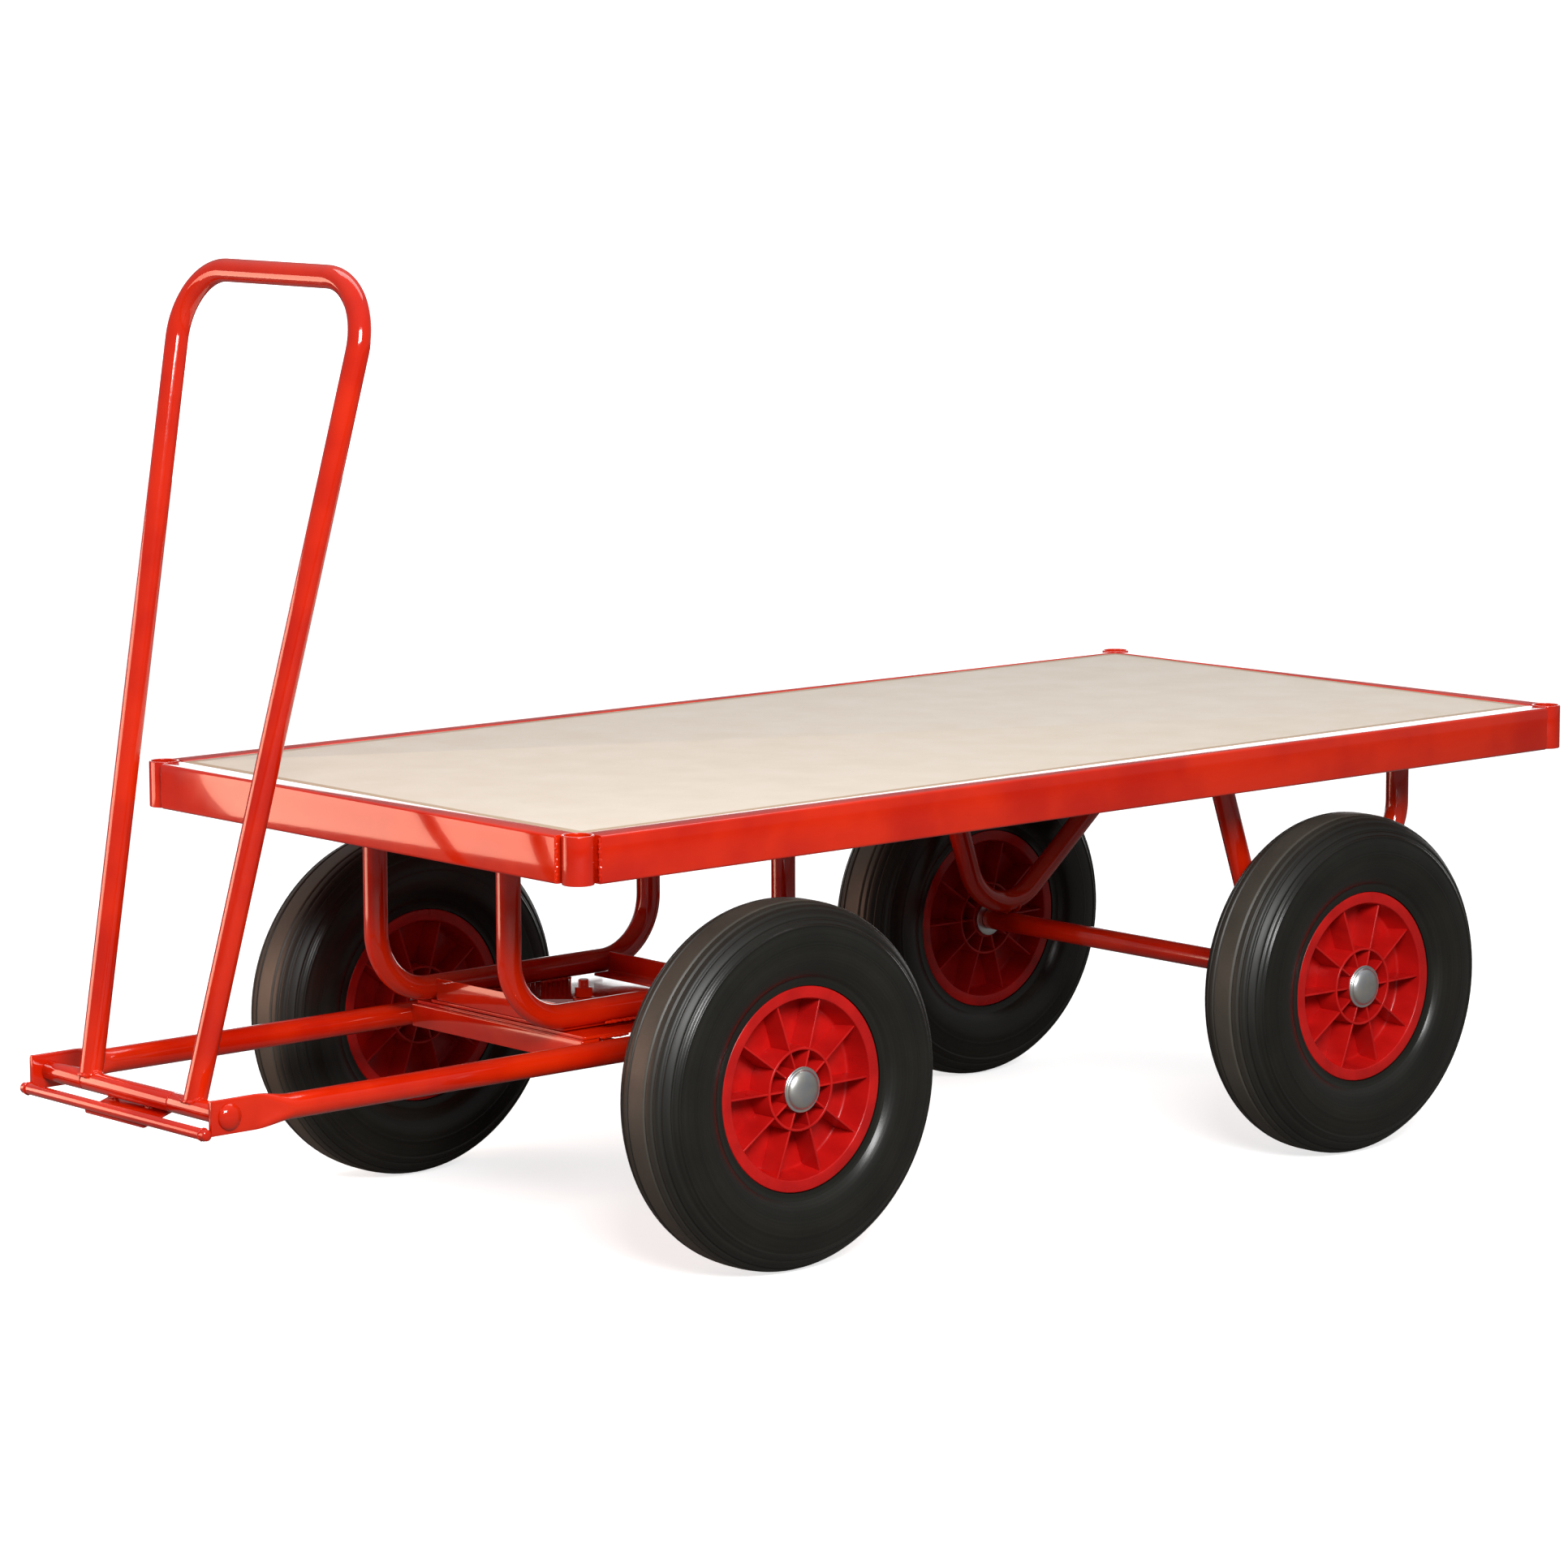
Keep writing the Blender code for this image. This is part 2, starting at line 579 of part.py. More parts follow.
def build_drawbar(shop, steering):
    """The two drawbar tubes, the front axle under them, the stop rod and the handle's hinge bolt."""
    drill_depth = 2 * DRAWBAR_HALF_SPACING + 4 * PIPE_RADIUS
    drill = cylinder_mesh("pivot_drill", BOLT_RADIUS + RUNNING_GAP, drill_depth)
    for side in (-1, 1):
        name = f"drawbar_tube_{side_name(side)}"
        mesh = drawbar_mesh(name, side * DRAWBAR_HALF_SPACING)
        tube = shop.add(name, mesh, "red_paint", KINGPIN, steering)
        cutter = shop.cutter(f"{name}_drill", drill)
        cutter.rotation_euler = (math.pi / 2, 0, 0)
        cutter.location = (PIVOT.x, drill_depth / 2, PIVOT.z)
        combine(tube, cutter)
    end = FRONT_HALF_TRACK + HUB_HALF_LENGTH
    axle_place = Vector((KINGPIN_X, 0, WHEEL_RADIUS))
    axle = [axle_place - Vector((0, end, 0)), axle_place + Vector((0, end, 0))]
    curve = tube_curve("front_axle", axle, AXLE_RADIUS, KINGPIN)
    shop.add("front_axle", curve, "red_paint", KINGPIN, steering)
    rod_x, rod_z = PIVOT.x - STOP_ROD_AHEAD, PIVOT.z - STOP_ROD_DROP
    rod_half = DRAWBAR_HALF_SPACING + EAR_THICKNESS / 2
    rod = [(rod_x, -rod_half, rod_z), (rod_x, rod_half, rod_z)]
    curve = tube_curve("stop_rod", rod, STOP_ROD_RADIUS, KINGPIN)
    shop.add("stop_rod", curve, "red_paint", KINGPIN, steering)
    build_hinge_bolt(shop, steering)


def build_hinge_bolt(shop, steering):
    """A cup-headed bolt through both ears, its head on the left, and the nut on the right."""
    head_face = DRAWBAR_HALF_SPACING + EAR_THICKNESS / 2 + GAP
    tail = -head_face - NUT_HEIGHT - HINGE_THREAD_SHOWING
    profile = [(0, head_face + CUP_HEAD_HEIGHT)]
    for degrees in (26, 49, 69):
        a = math.radians(degrees)
        profile.append((CUP_HEAD_RADIUS * math.sin(a), head_face + CUP_HEAD_HEIGHT * math.cos(a)))
    profile += [(CUP_HEAD_RADIUS, head_face), (BOLT_RADIUS, head_face), (BOLT_RADIUS, tail), (0, tail)]
    mesh = profile_mesh("pivot_bolt", profile, False)
    turned = (math.pi / 2, 0, 0)
    turn(shop.add("pivot_bolt", mesh, "red_paint", PIVOT, steering, turned), ROUND_STEPS)
    right = Vector((0, 1, 0))
    add_nut(shop, "pivot_nut", PIVOT + right * head_face, right, steering)


def build_handle(shop, hinge):
    """The hoop handle on its three sleeves, and the plate that stops it against the rod."""
    lean = Vector((math.sin(HANDLE_LEAN), 0, math.cos(HANDLE_LEAN)))
    across = Vector((0, 1, 0))

    def leg(side, along):
        width = HANDLE_HALF_FOOT + HANDLE_SPLAY * along
        return PIVOT + lean * along + across * (HANDLE_SHIFT + side * width)

    foot = SLEEVE_RADIUS + GAP + HANDLE_RADIUS * HANDLE_SPLAY
    corners = [leg(-1, foot), leg(-1, HANDLE_LENGTH), leg(1, HANDLE_LENGTH), leg(1, foot)]
    hoop = tube_curve("handle_hoop", rounded_route(corners, HANDLE_BEND), HANDLE_RADIUS, PIVOT)
    shop.add("handle_hoop", hoop, "red_paint", PIVOT, hinge)
    ear = DRAWBAR_HALF_SPACING - EAR_THICKNESS / 2
    edges = (-ear, *SLEEVE_JOINTS, ear)
    for name, low, high in zip(("left", "middle", "right"), edges, edges[1:]):
        # The sleeve's own axis is turned onto -Y, so its heights are minus the world's.
        section = ring_profile(BOLT_RADIUS + RUNNING_GAP, SLEEVE_RADIUS, GAP - high, -low - GAP)
        mesh = profile_mesh(f"pivot_sleeve_{name}", section, True)
        turned = (math.pi / 2, 0, 0)
        turn(shop.add(f"pivot_sleeve_{name}", mesh, "red_paint", PIVOT, hinge, turned), ROUND_STEPS)
    build_stop_plate(shop, hinge)


def build_stop_plate(shop, hinge):
    """A plate under the sleeve that comes up against the rod, with two lugs towards the sleeve."""
    rod = PIVOT + Vector((-STOP_ROD_AHEAD, 0, -STOP_ROD_DROP))
    tilt = (0, -STOP_PLATE_SLOPE, 0)
    # In the plate's own frame, Z is square to it and its top touches the rod from below.
    top = -(STOP_ROD_RADIUS + GAP)
    low = (STOP_PLATE_FRONT, -STOP_PLATE_HALF_WIDTH, top - STOP_PLATE_THICKNESS)
    high = (STOP_PLATE_REAR, STOP_PLATE_HALF_WIDTH, top)
    mesh = box_mesh("stop_plate", low, high, bevel=STOP_PLATE_EDGE)
    plate = shop.add("stop_plate", mesh, "red_paint", rod, hinge, tilt)
    for index, y in enumerate(STOP_LUG_PLACES):
        low = (STOP_LUG_FRONT, y - STOP_LUG_HALF_WIDTH, top - STOP_PLATE_THICKNESS / 2)
        high = (STOP_LUG_REAR, y + STOP_LUG_HALF_WIDTH, top + STOP_LUG_RISE)
        lug = shop.cutter(f"stop_lug_{index}", box_mesh(f"stop_lug_{index}", low, high))
        lug.rotation_euler = tilt
        lug.location = rod
        combine(plate, lug, "UNION")


def tyre_section():
    """The tyre's half section: beads on the rim, full sidewalls and a low crown, open towards the rim."""
    bead, shoulder = RIM_BARREL_RADIUS + 3 * GAP, RIM_FLANGE_RADIUS + 2 * GAP
    seat = HUB_HALF_LENGTH - RIM_LIP - GAP
    outer = [(bead, seat), (shoulder, seat), (shoulder, seat + BEAD_HEIGHT)]
    rise = WHEEL_RADIUS - SIDEWALL_RADIUS
    for degrees in (-50, -15, 20, 48, 68):
        a = math.radians(degrees)
        height = rise if a > 0 else SIDEWALL_RADIUS - RIM_FLANGE_RADIUS
        outer.append((SIDEWALL_RADIUS + height * math.sin(a), TYRE_HALF_WIDTH * math.cos(a) ** 0.62))
    # The hollow follows the outside at the tyre's thickness, which is greater under the tread.
    half_width, inner_rise = TYRE_HALF_WIDTH - TYRE_SKIN, rise - 1.3 * TYRE_SKIN
    inner = []
    for degrees in (66, 26):
        a = math.radians(degrees)
        inner.append((SIDEWALL_RADIUS + inner_rise * math.sin(a), half_width * math.cos(a) ** 0.7))
    inner += [((bead + SIDEWALL_RADIUS) / 2, 0.85 * half_width), (bead, seat - 1.5 * TYRE_SKIN)]
    mirror = [(radius, -height) for radius, height in reversed(outer)]
    inner_mirror = [(radius, -height) for radius, height in reversed(inner)]
    crown, hollow = (WHEEL_RADIUS, 0.0), (SIDEWALL_RADIUS + inner_rise, 0.0)
    return [*outer, crown, *mirror, *inner_mirror, hollow, *inner]


def rim_section():
    """The rim's half section: hub, web, barrel and the two flanges."""
    web_outer = RIM_BARREL_RADIUS - BARREL_THICKNESS
    hub_face = HUB_HALF_LENGTH - 2 * GAP
    half = [
        (BUSH_RADIUS + GAP, hub_face),
        (HUB_RADIUS, hub_face),
        (HUB_RADIUS, WEB_HALF_THICKNESS),
        (web_outer, WEB_HALF_THICKNESS),
        (web_outer, HUB_HALF_LENGTH),
        (RIM_FLANGE_RADIUS, HUB_HALF_LENGTH),
        (RIM_FLANGE_RADIUS, HUB_HALF_LENGTH - RIM_LIP),
        (RIM_BARREL_RADIUS, HUB_HALF_LENGTH - RIM_LIP),
    ]
    return half + [(radius, -height) for radius, height in reversed(half)]


def rib_star_mesh():
    """Ten radial ribs between the hub and the barrel, standing on both sides of the web."""
    mesh = bpy.data.meshes.new("rim_ribs")
    bm = bmesh.new()
    inner, outer = HUB_RADIUS - RIB_THICKNESS, RIM_BARREL_RADIUS - BARREL_THICKNESS / 2
    height = 2 * (HUB_HALF_LENGTH - RIB_INSET)
    for index in range(RIB_COUNT):
        made = bmesh.ops.create_cube(bm, size=1.0)["verts"]
        bmesh.ops.scale(bm, vec=(outer - inner, RIB_THICKNESS, height), verts=made)
        bmesh.ops.translate(bm, vec=((inner + outer) / 2, 0, 0), verts=made)
        turned = Matrix.Rotation(2 * math.pi * (index + 0.5) / RIB_COUNT, 3, "Z")
        bmesh.ops.rotate(bm, verts=made, cent=(0, 0, 0), matrix=turned)
    bm.to_mesh(mesh)
    bm.free()
    return mesh


def cap_profile():
    """The hub cap: a low dome with a thin flange, over the axle's end."""
    base = HUB_HALF_LENGTH + GAP
    flange = base + CAP_FLANGE_THICKNESS
    dome = []
    for degrees in (0, 23, 46, 69, 90):
        a = math.radians(degrees)
        dome.append((CAP_DOME_RADIUS * math.sin(a), flange + CAP_DOME_HEIGHT * math.cos(a)))
    return [*dome, (CAP_RADIUS, flange), (CAP_RADIUS, base), (0, base)]


def build_wheel(shop, end, side, x, half_track, axle_body):
    """One wheel on its own hub empty; the washer and the cap stay with the axle."""
    name = f"{end}_{side_name(side)}"
    centre = Vector((x, side * half_track, WHEEL_RADIUS))
    outboard = (-side * math.pi / 2, 0, 0)
    hub = shop.axis(f"{name}_hub_axis", centre, axle_body)
    tyre = profile_mesh(f"{name}_tyre", tyre_section(), True)
    turn(shop.add(f"{name}_tyre", tyre, "tyre_rubber", centre, hub, outboard), TYRE_STEPS)
    rim_profile = profile_mesh(f"{name}_rim", rim_section(), True)
    rim = turn(shop.add(f"{name}_rim", rim_profile, "red_plastic", centre, hub, outboard), RIM_STEPS)
    ribs = shop.cutter(f"{name}_ribs", rib_star_mesh())
    ribs.location = centre
    ribs.rotation_euler = outboard
    combine(rim, ribs, "UNION")
    bush_section = ring_profile(AXLE_RADIUS + RUNNING_GAP, BUSH_RADIUS, -HUB_HALF_LENGTH, HUB_HALF_LENGTH)
    bush = profile_mesh(f"{name}_bush", bush_section, True)
    turn(shop.add(f"{name}_bush", bush, "bush_nylon", centre, hub, outboard), ROUND_STEPS)
    washer_low = -HUB_HALF_LENGTH - GAP - WASHER_THICKNESS
    washer_high = washer_low + WASHER_THICKNESS
    section = ring_profile(AXLE_RADIUS + GAP, HUB_WASHER_RADIUS, washer_low, washer_high)
    washer = profile_mesh(f"{name}_washer", section, True)
    turn(shop.add(f"{name}_washer", washer, "bright_zinc", centre, axle_body, outboard), ROUND_STEPS)
    cap = profile_mesh(f"{name}_hub_cap", cap_profile(), False)
    turn(shop.add(f"{name}_hub_cap", cap, "bright_zinc", centre, axle_body, outboard), ROUND_STEPS)


def main():
    clear_scene()
    shop = Workshop()
    steering = shop.axis("steering_axis", KINGPIN)
    hinge = shop.axis("handle_axis", PIVOT, steering)
    build_deck(shop)
    build_hoops(shop)
    build_brackets(shop)
    build_turntable(shop, steering)
    build_drawbar(shop, steering)
    build_handle(shop, hinge)
    for side in (-1, 1):
        build_wheel(shop, "front", side, KINGPIN_X, FRONT_HALF_TRACK, steering)
        build_wheel(shop, "rear", side, REAR_AXLE_X, REAR_HALF_TRACK, None)


main()
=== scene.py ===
"""Fine surfaces, finishes and studio of a four-wheeled platform trolley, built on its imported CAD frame.

Metres, +Z up. -X is the end it is pulled by, so left is -Y and right is +Y. Every new piece is made of
rings of points: an outline carried along a path, or a profile turned about an axis.
"""

import json
import logging
import math
from collections.abc import Sequence
from dataclasses import dataclass, field
from enum import Enum
from itertools import product

import bpy
import numpy as np
from mathutils import Matrix, Vector


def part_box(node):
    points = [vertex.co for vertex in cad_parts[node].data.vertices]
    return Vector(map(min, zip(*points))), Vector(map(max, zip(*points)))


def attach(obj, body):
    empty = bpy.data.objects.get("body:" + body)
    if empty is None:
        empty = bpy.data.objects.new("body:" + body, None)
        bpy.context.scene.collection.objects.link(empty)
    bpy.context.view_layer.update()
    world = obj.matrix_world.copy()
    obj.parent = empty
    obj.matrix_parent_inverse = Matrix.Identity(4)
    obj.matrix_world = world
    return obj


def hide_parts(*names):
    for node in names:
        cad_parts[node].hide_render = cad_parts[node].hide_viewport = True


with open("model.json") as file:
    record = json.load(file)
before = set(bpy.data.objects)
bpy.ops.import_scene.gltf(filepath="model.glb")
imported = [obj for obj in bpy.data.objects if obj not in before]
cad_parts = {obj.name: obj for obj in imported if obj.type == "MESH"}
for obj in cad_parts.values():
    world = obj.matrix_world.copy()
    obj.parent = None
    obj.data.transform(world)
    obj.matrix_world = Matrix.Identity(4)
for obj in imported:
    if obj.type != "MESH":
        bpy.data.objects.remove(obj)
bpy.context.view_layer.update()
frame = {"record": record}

Array = np.ndarray
Colour = tuple[float, float, float, float]

log = logging.getLogger("platform_trolley")

MM = 0.001
ALONG_X, ALONG_Y, ALONG_Z = np.eye(3)
SIDES = {"left": -1, "right": 1}
ENDS = {"front": -1, "rear": 1}
CREASE = 32.0
BEND_STEPS = 18


class Slot(Enum):
    """The record's material slots."""

    PAINT = "red_paint"
    PLASTIC = "red_plastic"
    RUBBER = "tyre_rubber"
    BOARD = "deck_board"
    ZINC = "bright_zinc"
    NYLON = "bush_nylon"


# Shader expressions


class Signal:
    """A shader socket that is used as a number in Python expressions."""

    def __init__(self, graph: "Graph", socket: bpy.types.NodeSocket) -> None:
        """Keeps the socket and the graph that it belongs to."""
        self.graph = graph
        self.socket = socket

    def __add__(self, other: "Signal | float") -> "Signal":
        """The sum."""
        return self.graph.maths("ADD", self, other)

    def __sub__(self, other: "Signal | float") -> "Signal":
        """The difference."""
        return self.graph.maths("SUBTRACT", self, other)

    def __rsub__(self, other: float) -> "Signal":
        """The difference from a plain number."""
        return self.graph.maths("SUBTRACT", other, self)

    def __mul__(self, other: "Signal | float") -> "Signal":
        """The product."""
        return self.graph.maths("MULTIPLY", self, other)

    __radd__ = __add__
    __rmul__ = __mul__

    def __abs__(self) -> "Signal":
        """The size without its sign."""
        return self.graph.maths("ABSOLUTE", self)

    def step(self, start: float, end: float) -> "Signal":
        """Rises smoothly from 0 at the start to 1 at the end.

        Args:
            start: The value where it leaves 0.
            end: The value where it reaches 1, which may be below the start.

        Returns:
            The eased value.
        """
        settings = {"interpolation_type": "SMOOTHSTEP"}
        inputs = {"Value": self, "From Min": start, "From Max": end}
        return self.graph.node("ShaderNodeMapRange", settings, inputs)


class Graph:
    """A node tree written as expressions."""

    def __init__(self, tree: bpy.types.NodeTree) -> None:
        """Keeps the tree that the nodes go in."""
        self.tree = tree

    def node(
        self, kind: str, settings: dict | None = None, inputs: dict | None = None, output: int | str = 0
    ) -> Signal:
        """Adds one node.

        Args:
            kind: The node's type.
            settings: Its own settings, which are set first.
            inputs: A value or a signal for each socket, by name or index.
            output: The socket to give back.

        Returns:
            The output as a signal.
        """
        made = self.tree.nodes.new(kind)
        for name, value in (settings or {}).items():
            setattr(made, name, value)
        for name, value in (inputs or {}).items():
            self.feed(made.inputs[name], value)
        return Signal(self, made.outputs[output])

    def feed(self, socket: bpy.types.NodeSocket, value: "Signal | float | Sequence[float]") -> None:
        """Links a signal to a socket, or sets a plain value on it."""
        if isinstance(value, Signal):
            self.tree.links.new(value.socket, socket)
        else:
            socket.default_value = value

    def maths(self, operation: str, *values: "Signal | float") -> Signal:
        """Adds a Math node on the values given."""
        return self.node("ShaderNodeMath", {"operation": operation}, dict(enumerate(values)))

    def place(self, stretch: tuple[float, float, float] = (1.0, 1.0, 1.0)) -> Signal:
        """The place on the object, in metres, stretched along each axis."""
        place = self.node("ShaderNodeTexCoord", output="Object")
        return self.node("ShaderNodeVectorMath", {"operation": "MULTIPLY"}, {0: place, 1: stretch})

    def noise(self, place: Signal, scale: float, detail: float = 3.0) -> Signal:
        """A soft random pattern between 0 and 1."""
        return self.node("ShaderNodeTexNoise", inputs={"Vector": place, "Scale": scale, "Detail": detail})

    def mix(self, factor: Signal, first: "Signal | Colour", second: "Signal | Colour") -> Signal:
        """A colour between two others."""
        inputs = {0: factor, 6: first, 7: second}
        return self.node("ShaderNodeMix", {"data_type": "RGBA"}, inputs, output=2)

    def bump(self, height: Signal, depth: float) -> Signal:
        """A normal that is tipped by a height of 0 to 1, for a relief this deep in metres."""
        return self.node("ShaderNodeBump", inputs={"Height": height, "Distance": depth}, output="Normal")

    def coordinate(self, vector: Signal, index: int) -> Signal:
        """One coordinate of a vector: 0 for X, 1 for Y, 2 for Z."""
        return self.node("ShaderNodeSeparateXYZ", inputs={0: vector}, output=index)

    def seen(self) -> Signal:
        """1 for what the camera sees directly, and 0 for what only lights or mirrors."""
        return self.node("ShaderNodeLightPath", output="Is Camera Ray")

    def attribute(self, name: str) -> Signal:
        """A number stored on the mesh's points."""
        return self.node("ShaderNodeAttribute", {"attribute_name": name}, output="Fac")


def colour(red: float, green: float, blue: float) -> Colour:
    """An opaque colour."""
    return (red, green, blue, 1.0)


# Finishes


@dataclass(frozen=True)
class Finish:
    """What every finish has: a name, a gloss, and steady values set on the shader's own sockets."""

    name: str = "finish"
    roughness: float = 0.3
    metallic: float = 0.0
    specular: float = 0.5
    coat_weight: float = 0.0
    coat_roughness: float = 0.03

    def make(self) -> bpy.types.Material:
        """Makes the material and dresses it."""
        material = bpy.data.materials.new(self.name)
        material.use_nodes = True
        shader = material.node_tree.nodes["Principled BSDF"]
        shader.inputs["Metallic"].default_value = self.metallic
        shader.inputs["Specular IOR Level"].default_value = self.specular
        shader.inputs["Coat Weight"].default_value = self.coat_weight
        shader.inputs["Coat Roughness"].default_value = self.coat_roughness
        graph = Graph(material.node_tree)
        for socket, value in self.dress(graph).items():
            graph.feed(shader.inputs[socket], value)
        return material

    def dress(self, graph: Graph) -> dict[str, Signal]:
        """The signals for the shader's sockets."""
        raise NotImplementedError


@dataclass(frozen=True)
class RedPaint(Finish):
    """Glossy red paint: nearly even, with a slight orange peel and a deeper red here and there."""

    name: str = "glossy_red_paint"
    roughness: float = 0.10
    specular: float = 0.45
    coat_weight: float = 0.55
    deep: Colour = colour(0.58, 0.0110, 0.0010)
    fresh: Colour = colour(0.76, 0.0240, 0.0020)
    peel: float = 0.05 * MM

    def dress(self, graph: Graph) -> dict[str, Signal]:
        """Mottled red, uneven gloss, and peel in the relief."""
        place = graph.place()
        cloud = graph.noise(place, 9.0).step(0.32, 0.68)
        smear = graph.noise(place, 60.0)
        relief = graph.noise(place, 420.0, 1.0) * 0.6 + smear * 0.8
        return {
            "Base Color": graph.mix(cloud, self.deep, self.fresh),
            "Roughness": smear * 0.08 + (self.roughness - 0.04),
            "Normal": graph.bump(relief, self.peel),
        }


@dataclass(frozen=True)
class RedPlastic(Finish):
    """Moulded red plastic: satin, with faint flow marks."""

    name: str = "moulded_red_plastic"
    roughness: float = 0.30
    specular: float = 0.35
    deep: Colour = colour(0.46, 0.0060, 0.0055)
    fresh: Colour = colour(0.60, 0.0090, 0.0070)

    def dress(self, graph: Graph) -> dict[str, Signal]:
        """Flow marks in the colour and the gloss, and a fine moulded grain."""
        place = graph.place()
        flow = graph.noise(graph.place((1.0, 0.35, 1.0)), 34.0)
        grain = graph.noise(place, 900.0, 2.0)
        return {
            "Base Color": graph.mix(flow.step(0.3, 0.7), self.deep, self.fresh),
            "Roughness": flow * 0.16 + (self.roughness - 0.08),
            "Normal": graph.bump(grain, 0.03 * MM),
        }


@dataclass(frozen=True)
class TyreRubber(Finish):
    """Black rubber: satin sides, a dusty brown tread, and faint rings from the mould in a greenish grey that
    is partly the rubber's tint and partly painted sheen.

    The mesh stores how far each point is from the tyre's middle plane and from its axle.
    """

    name: str = "black_tyre_rubber"
    roughness: float = 0.30
    specular: float = 0.45
    black: Colour = colour(0.0046, 0.0046, 0.0036)
    # the greenish grey of the sidewall's rings: partly the rubber's tint, partly a painted sheen
    grey_tint_and_sheen: Colour = colour(0.0200, 0.0192, 0.0150)
    dust: Colour = colour(0.120, 0.108, 0.088)
    band: float = 13.7 * MM
    band_edge: float = 0.6 * MM
    shoulder: float = 36.0 * MM
    tread_from: float = 186 * MM
    tread_fade: float = 6 * MM

    def dress(self, graph: Graph) -> dict[str, Signal]:
        """Dust on the crown's middle band, less on its shoulders, and rings and specks elsewhere, the rings
        in a greenish grey that is partly painted sheen.
        """
        across, reach = graph.attribute("across"), graph.attribute("reach")
        place = graph.place()
        rings = graph.node("ShaderNodeCombineXYZ", inputs={0: across, 1: reach})
        rings = graph.noise(rings, 420.0, 2.0)
        cloud = graph.noise(place, 14.0, 5.0)
        specks = graph.noise(place, 700.0, 2.0)
        tread = reach.step(self.tread_from - self.tread_fade, self.tread_from)
        middle = across.step(self.band + self.band_edge, self.band - self.band_edge)
        shoulder = across.step(self.shoulder, self.band) * 0.30
        dusty = tread * (middle * 0.62 + (1 - middle) * shoulder) * (cloud * 0.9 + 0.45)
        # the sidewall: black, with rings of greenish grey that is partly painted sheen
        side = graph.mix(rings * cloud * 1.7, self.black, self.grey_tint_and_sheen)
        relief = specks * 0.35 + rings
        return {
            "Base Color": graph.mix(dusty, side, self.dust),
            "Roughness": tread * 0.16 + rings * 0.10 + (self.roughness - 0.05),
            "Normal": graph.bump(relief, 0.10 * MM),
        }


@dataclass(frozen=True)
class DeckBoard(Finish):
    """Pale pressed board: faint fibres and a mottle, with painted shade in tan along its edges, where it
    meets the rails.
    """

    name: str = "pale_deck_board"
    roughness: float = 0.50
    specular: float = 0.30
    centre: tuple[float, float, float] = (0.0, 0.0, 0.0)
    half_size: tuple[float, float, float] = (1.0, 1.0, 1.0)
    pale: Colour = colour(0.830, 0.735, 0.635)
    beige: Colour = colour(0.740, 0.630, 0.510)
    # tan: the colour of the painted shade along the board's edges, by the rails
    tan: Colour = colour(0.480, 0.310, 0.180)
    shade_width: float = 13.0 * MM
    shade_wander: float = 5.0 * MM
    shade_strength: float = 0.75

    def dress(self, graph: Graph) -> dict[str, Signal]:
        """Fibres and mottle in the colour, and painted tan shade where the place nears an edge."""
        back = tuple(-value for value in self.centre)
        place = graph.node("ShaderNodeMapping", inputs={"Vector": graph.place(), "Location": back})
        mottle = graph.noise(place, 16.0, 6.0)
        fibres = graph.noise(graph.place((0.25, 1.0, 1.0)), 520.0, 3.0)
        flecks = graph.noise(place, 210.0, 4.0).step(0.58, 0.74)
        blend = mottle.step(0.25, 0.75) * 0.45 + fibres * 0.30 + flecks * 0.25
        inside_x = self.half_size[0] - abs(graph.coordinate(place, 0))
        inside_y = self.half_size[1] - abs(graph.coordinate(place, 1))
        inside = graph.maths("MINIMUM", inside_x, inside_y) + (mottle - 0.5) * self.shade_wander
        # edge: the mask of the painted shade, strongest at the board's rim and fading out inwards
        edge = inside.step(self.shade_width, self.shade_width * 0.6)
        board = graph.mix(blend, self.pale, self.beige)
        return {
            "Base Color": graph.mix(edge * self.shade_strength, board, self.tan),
            "Roughness": mottle * 0.14 + (self.roughness - 0.07),
            "Normal": graph.bump(fibres + mottle, 0.08 * MM),
        }


@dataclass(frozen=True)
class BrightZinc(Finish):
    """Bright zinc plate, dulled by fine polishing lines, with a faint blue and straw tint."""

    name: str = "bright_zinc_plate"
    roughness: float = 0.30
    metallic: float = 1.0
    straw: Colour = colour(0.80, 0.79, 0.73)
    blue: Colour = colour(0.70, 0.73, 0.77)

    def dress(self, graph: Graph) -> dict[str, Signal]:
        """Tint in clouds, and scratches in the gloss."""
        place = graph.place()
        cloud = graph.noise(place, 70.0)
        scratches = graph.noise(graph.place((1.0, 1.0, 9.0)), 600.0, 2.0)
        return {
            "Base Color": graph.mix(cloud.step(0.35, 0.65), self.straw, self.blue),
            "Roughness": scratches * 0.14 + (self.roughness - 0.04),
            "Normal": graph.bump(scratches, 0.008 * MM),
        }


@dataclass(frozen=True)
class BushNylon(Finish):
    """Off-white nylon: waxy, with a faint mottle and a moulded grain."""

    name: str = "off_white_nylon"
    roughness: float = 0.45
    specular: float = 0.4
    light: Colour = colour(0.74, 0.72, 0.66)
    dark: Colour = colour(0.60, 0.57, 0.50)

    def dress(self, graph: Graph) -> dict[str, Signal]:
        """Mottle in the colour and the gloss."""
        mottle = graph.noise(graph.place(), 120.0)
        return {
            "Base Color": graph.mix(mottle, self.light, self.dark),
            "Roughness": mottle * 0.12 + (self.roughness - 0.06),
            "Normal": graph.bump(mottle, 0.05 * MM),
        }


# Surfaces


@dataclass
class Surface:
    """A closed surface: points, four-sided faces, the faces that close its ends, and its points' numbers."""

    points: Array
    quads: Array
    ends: list[Array] = field(default_factory=list)
    numbers: dict[str, Array] = field(default_factory=dict)

    def mesh(self, name: str, crease: float) -> bpy.types.Mesh:
        """Makes the Blender mesh, smooth except where faces meet at more than the crease angle."""
        mesh = bpy.data.meshes.new(name)
        faces = self.quads.tolist() + [end.tolist() for end in self.ends]
        mesh.from_pydata(self.points, [], faces)
        for key, values in self.numbers.items():
            mesh.attributes.new(key, "FLOAT", "POINT").data.foreach_set("value", values)
        mesh.shade_smooth()
        mesh.set_sharp_from_angle(angle=crease)
        return mesh


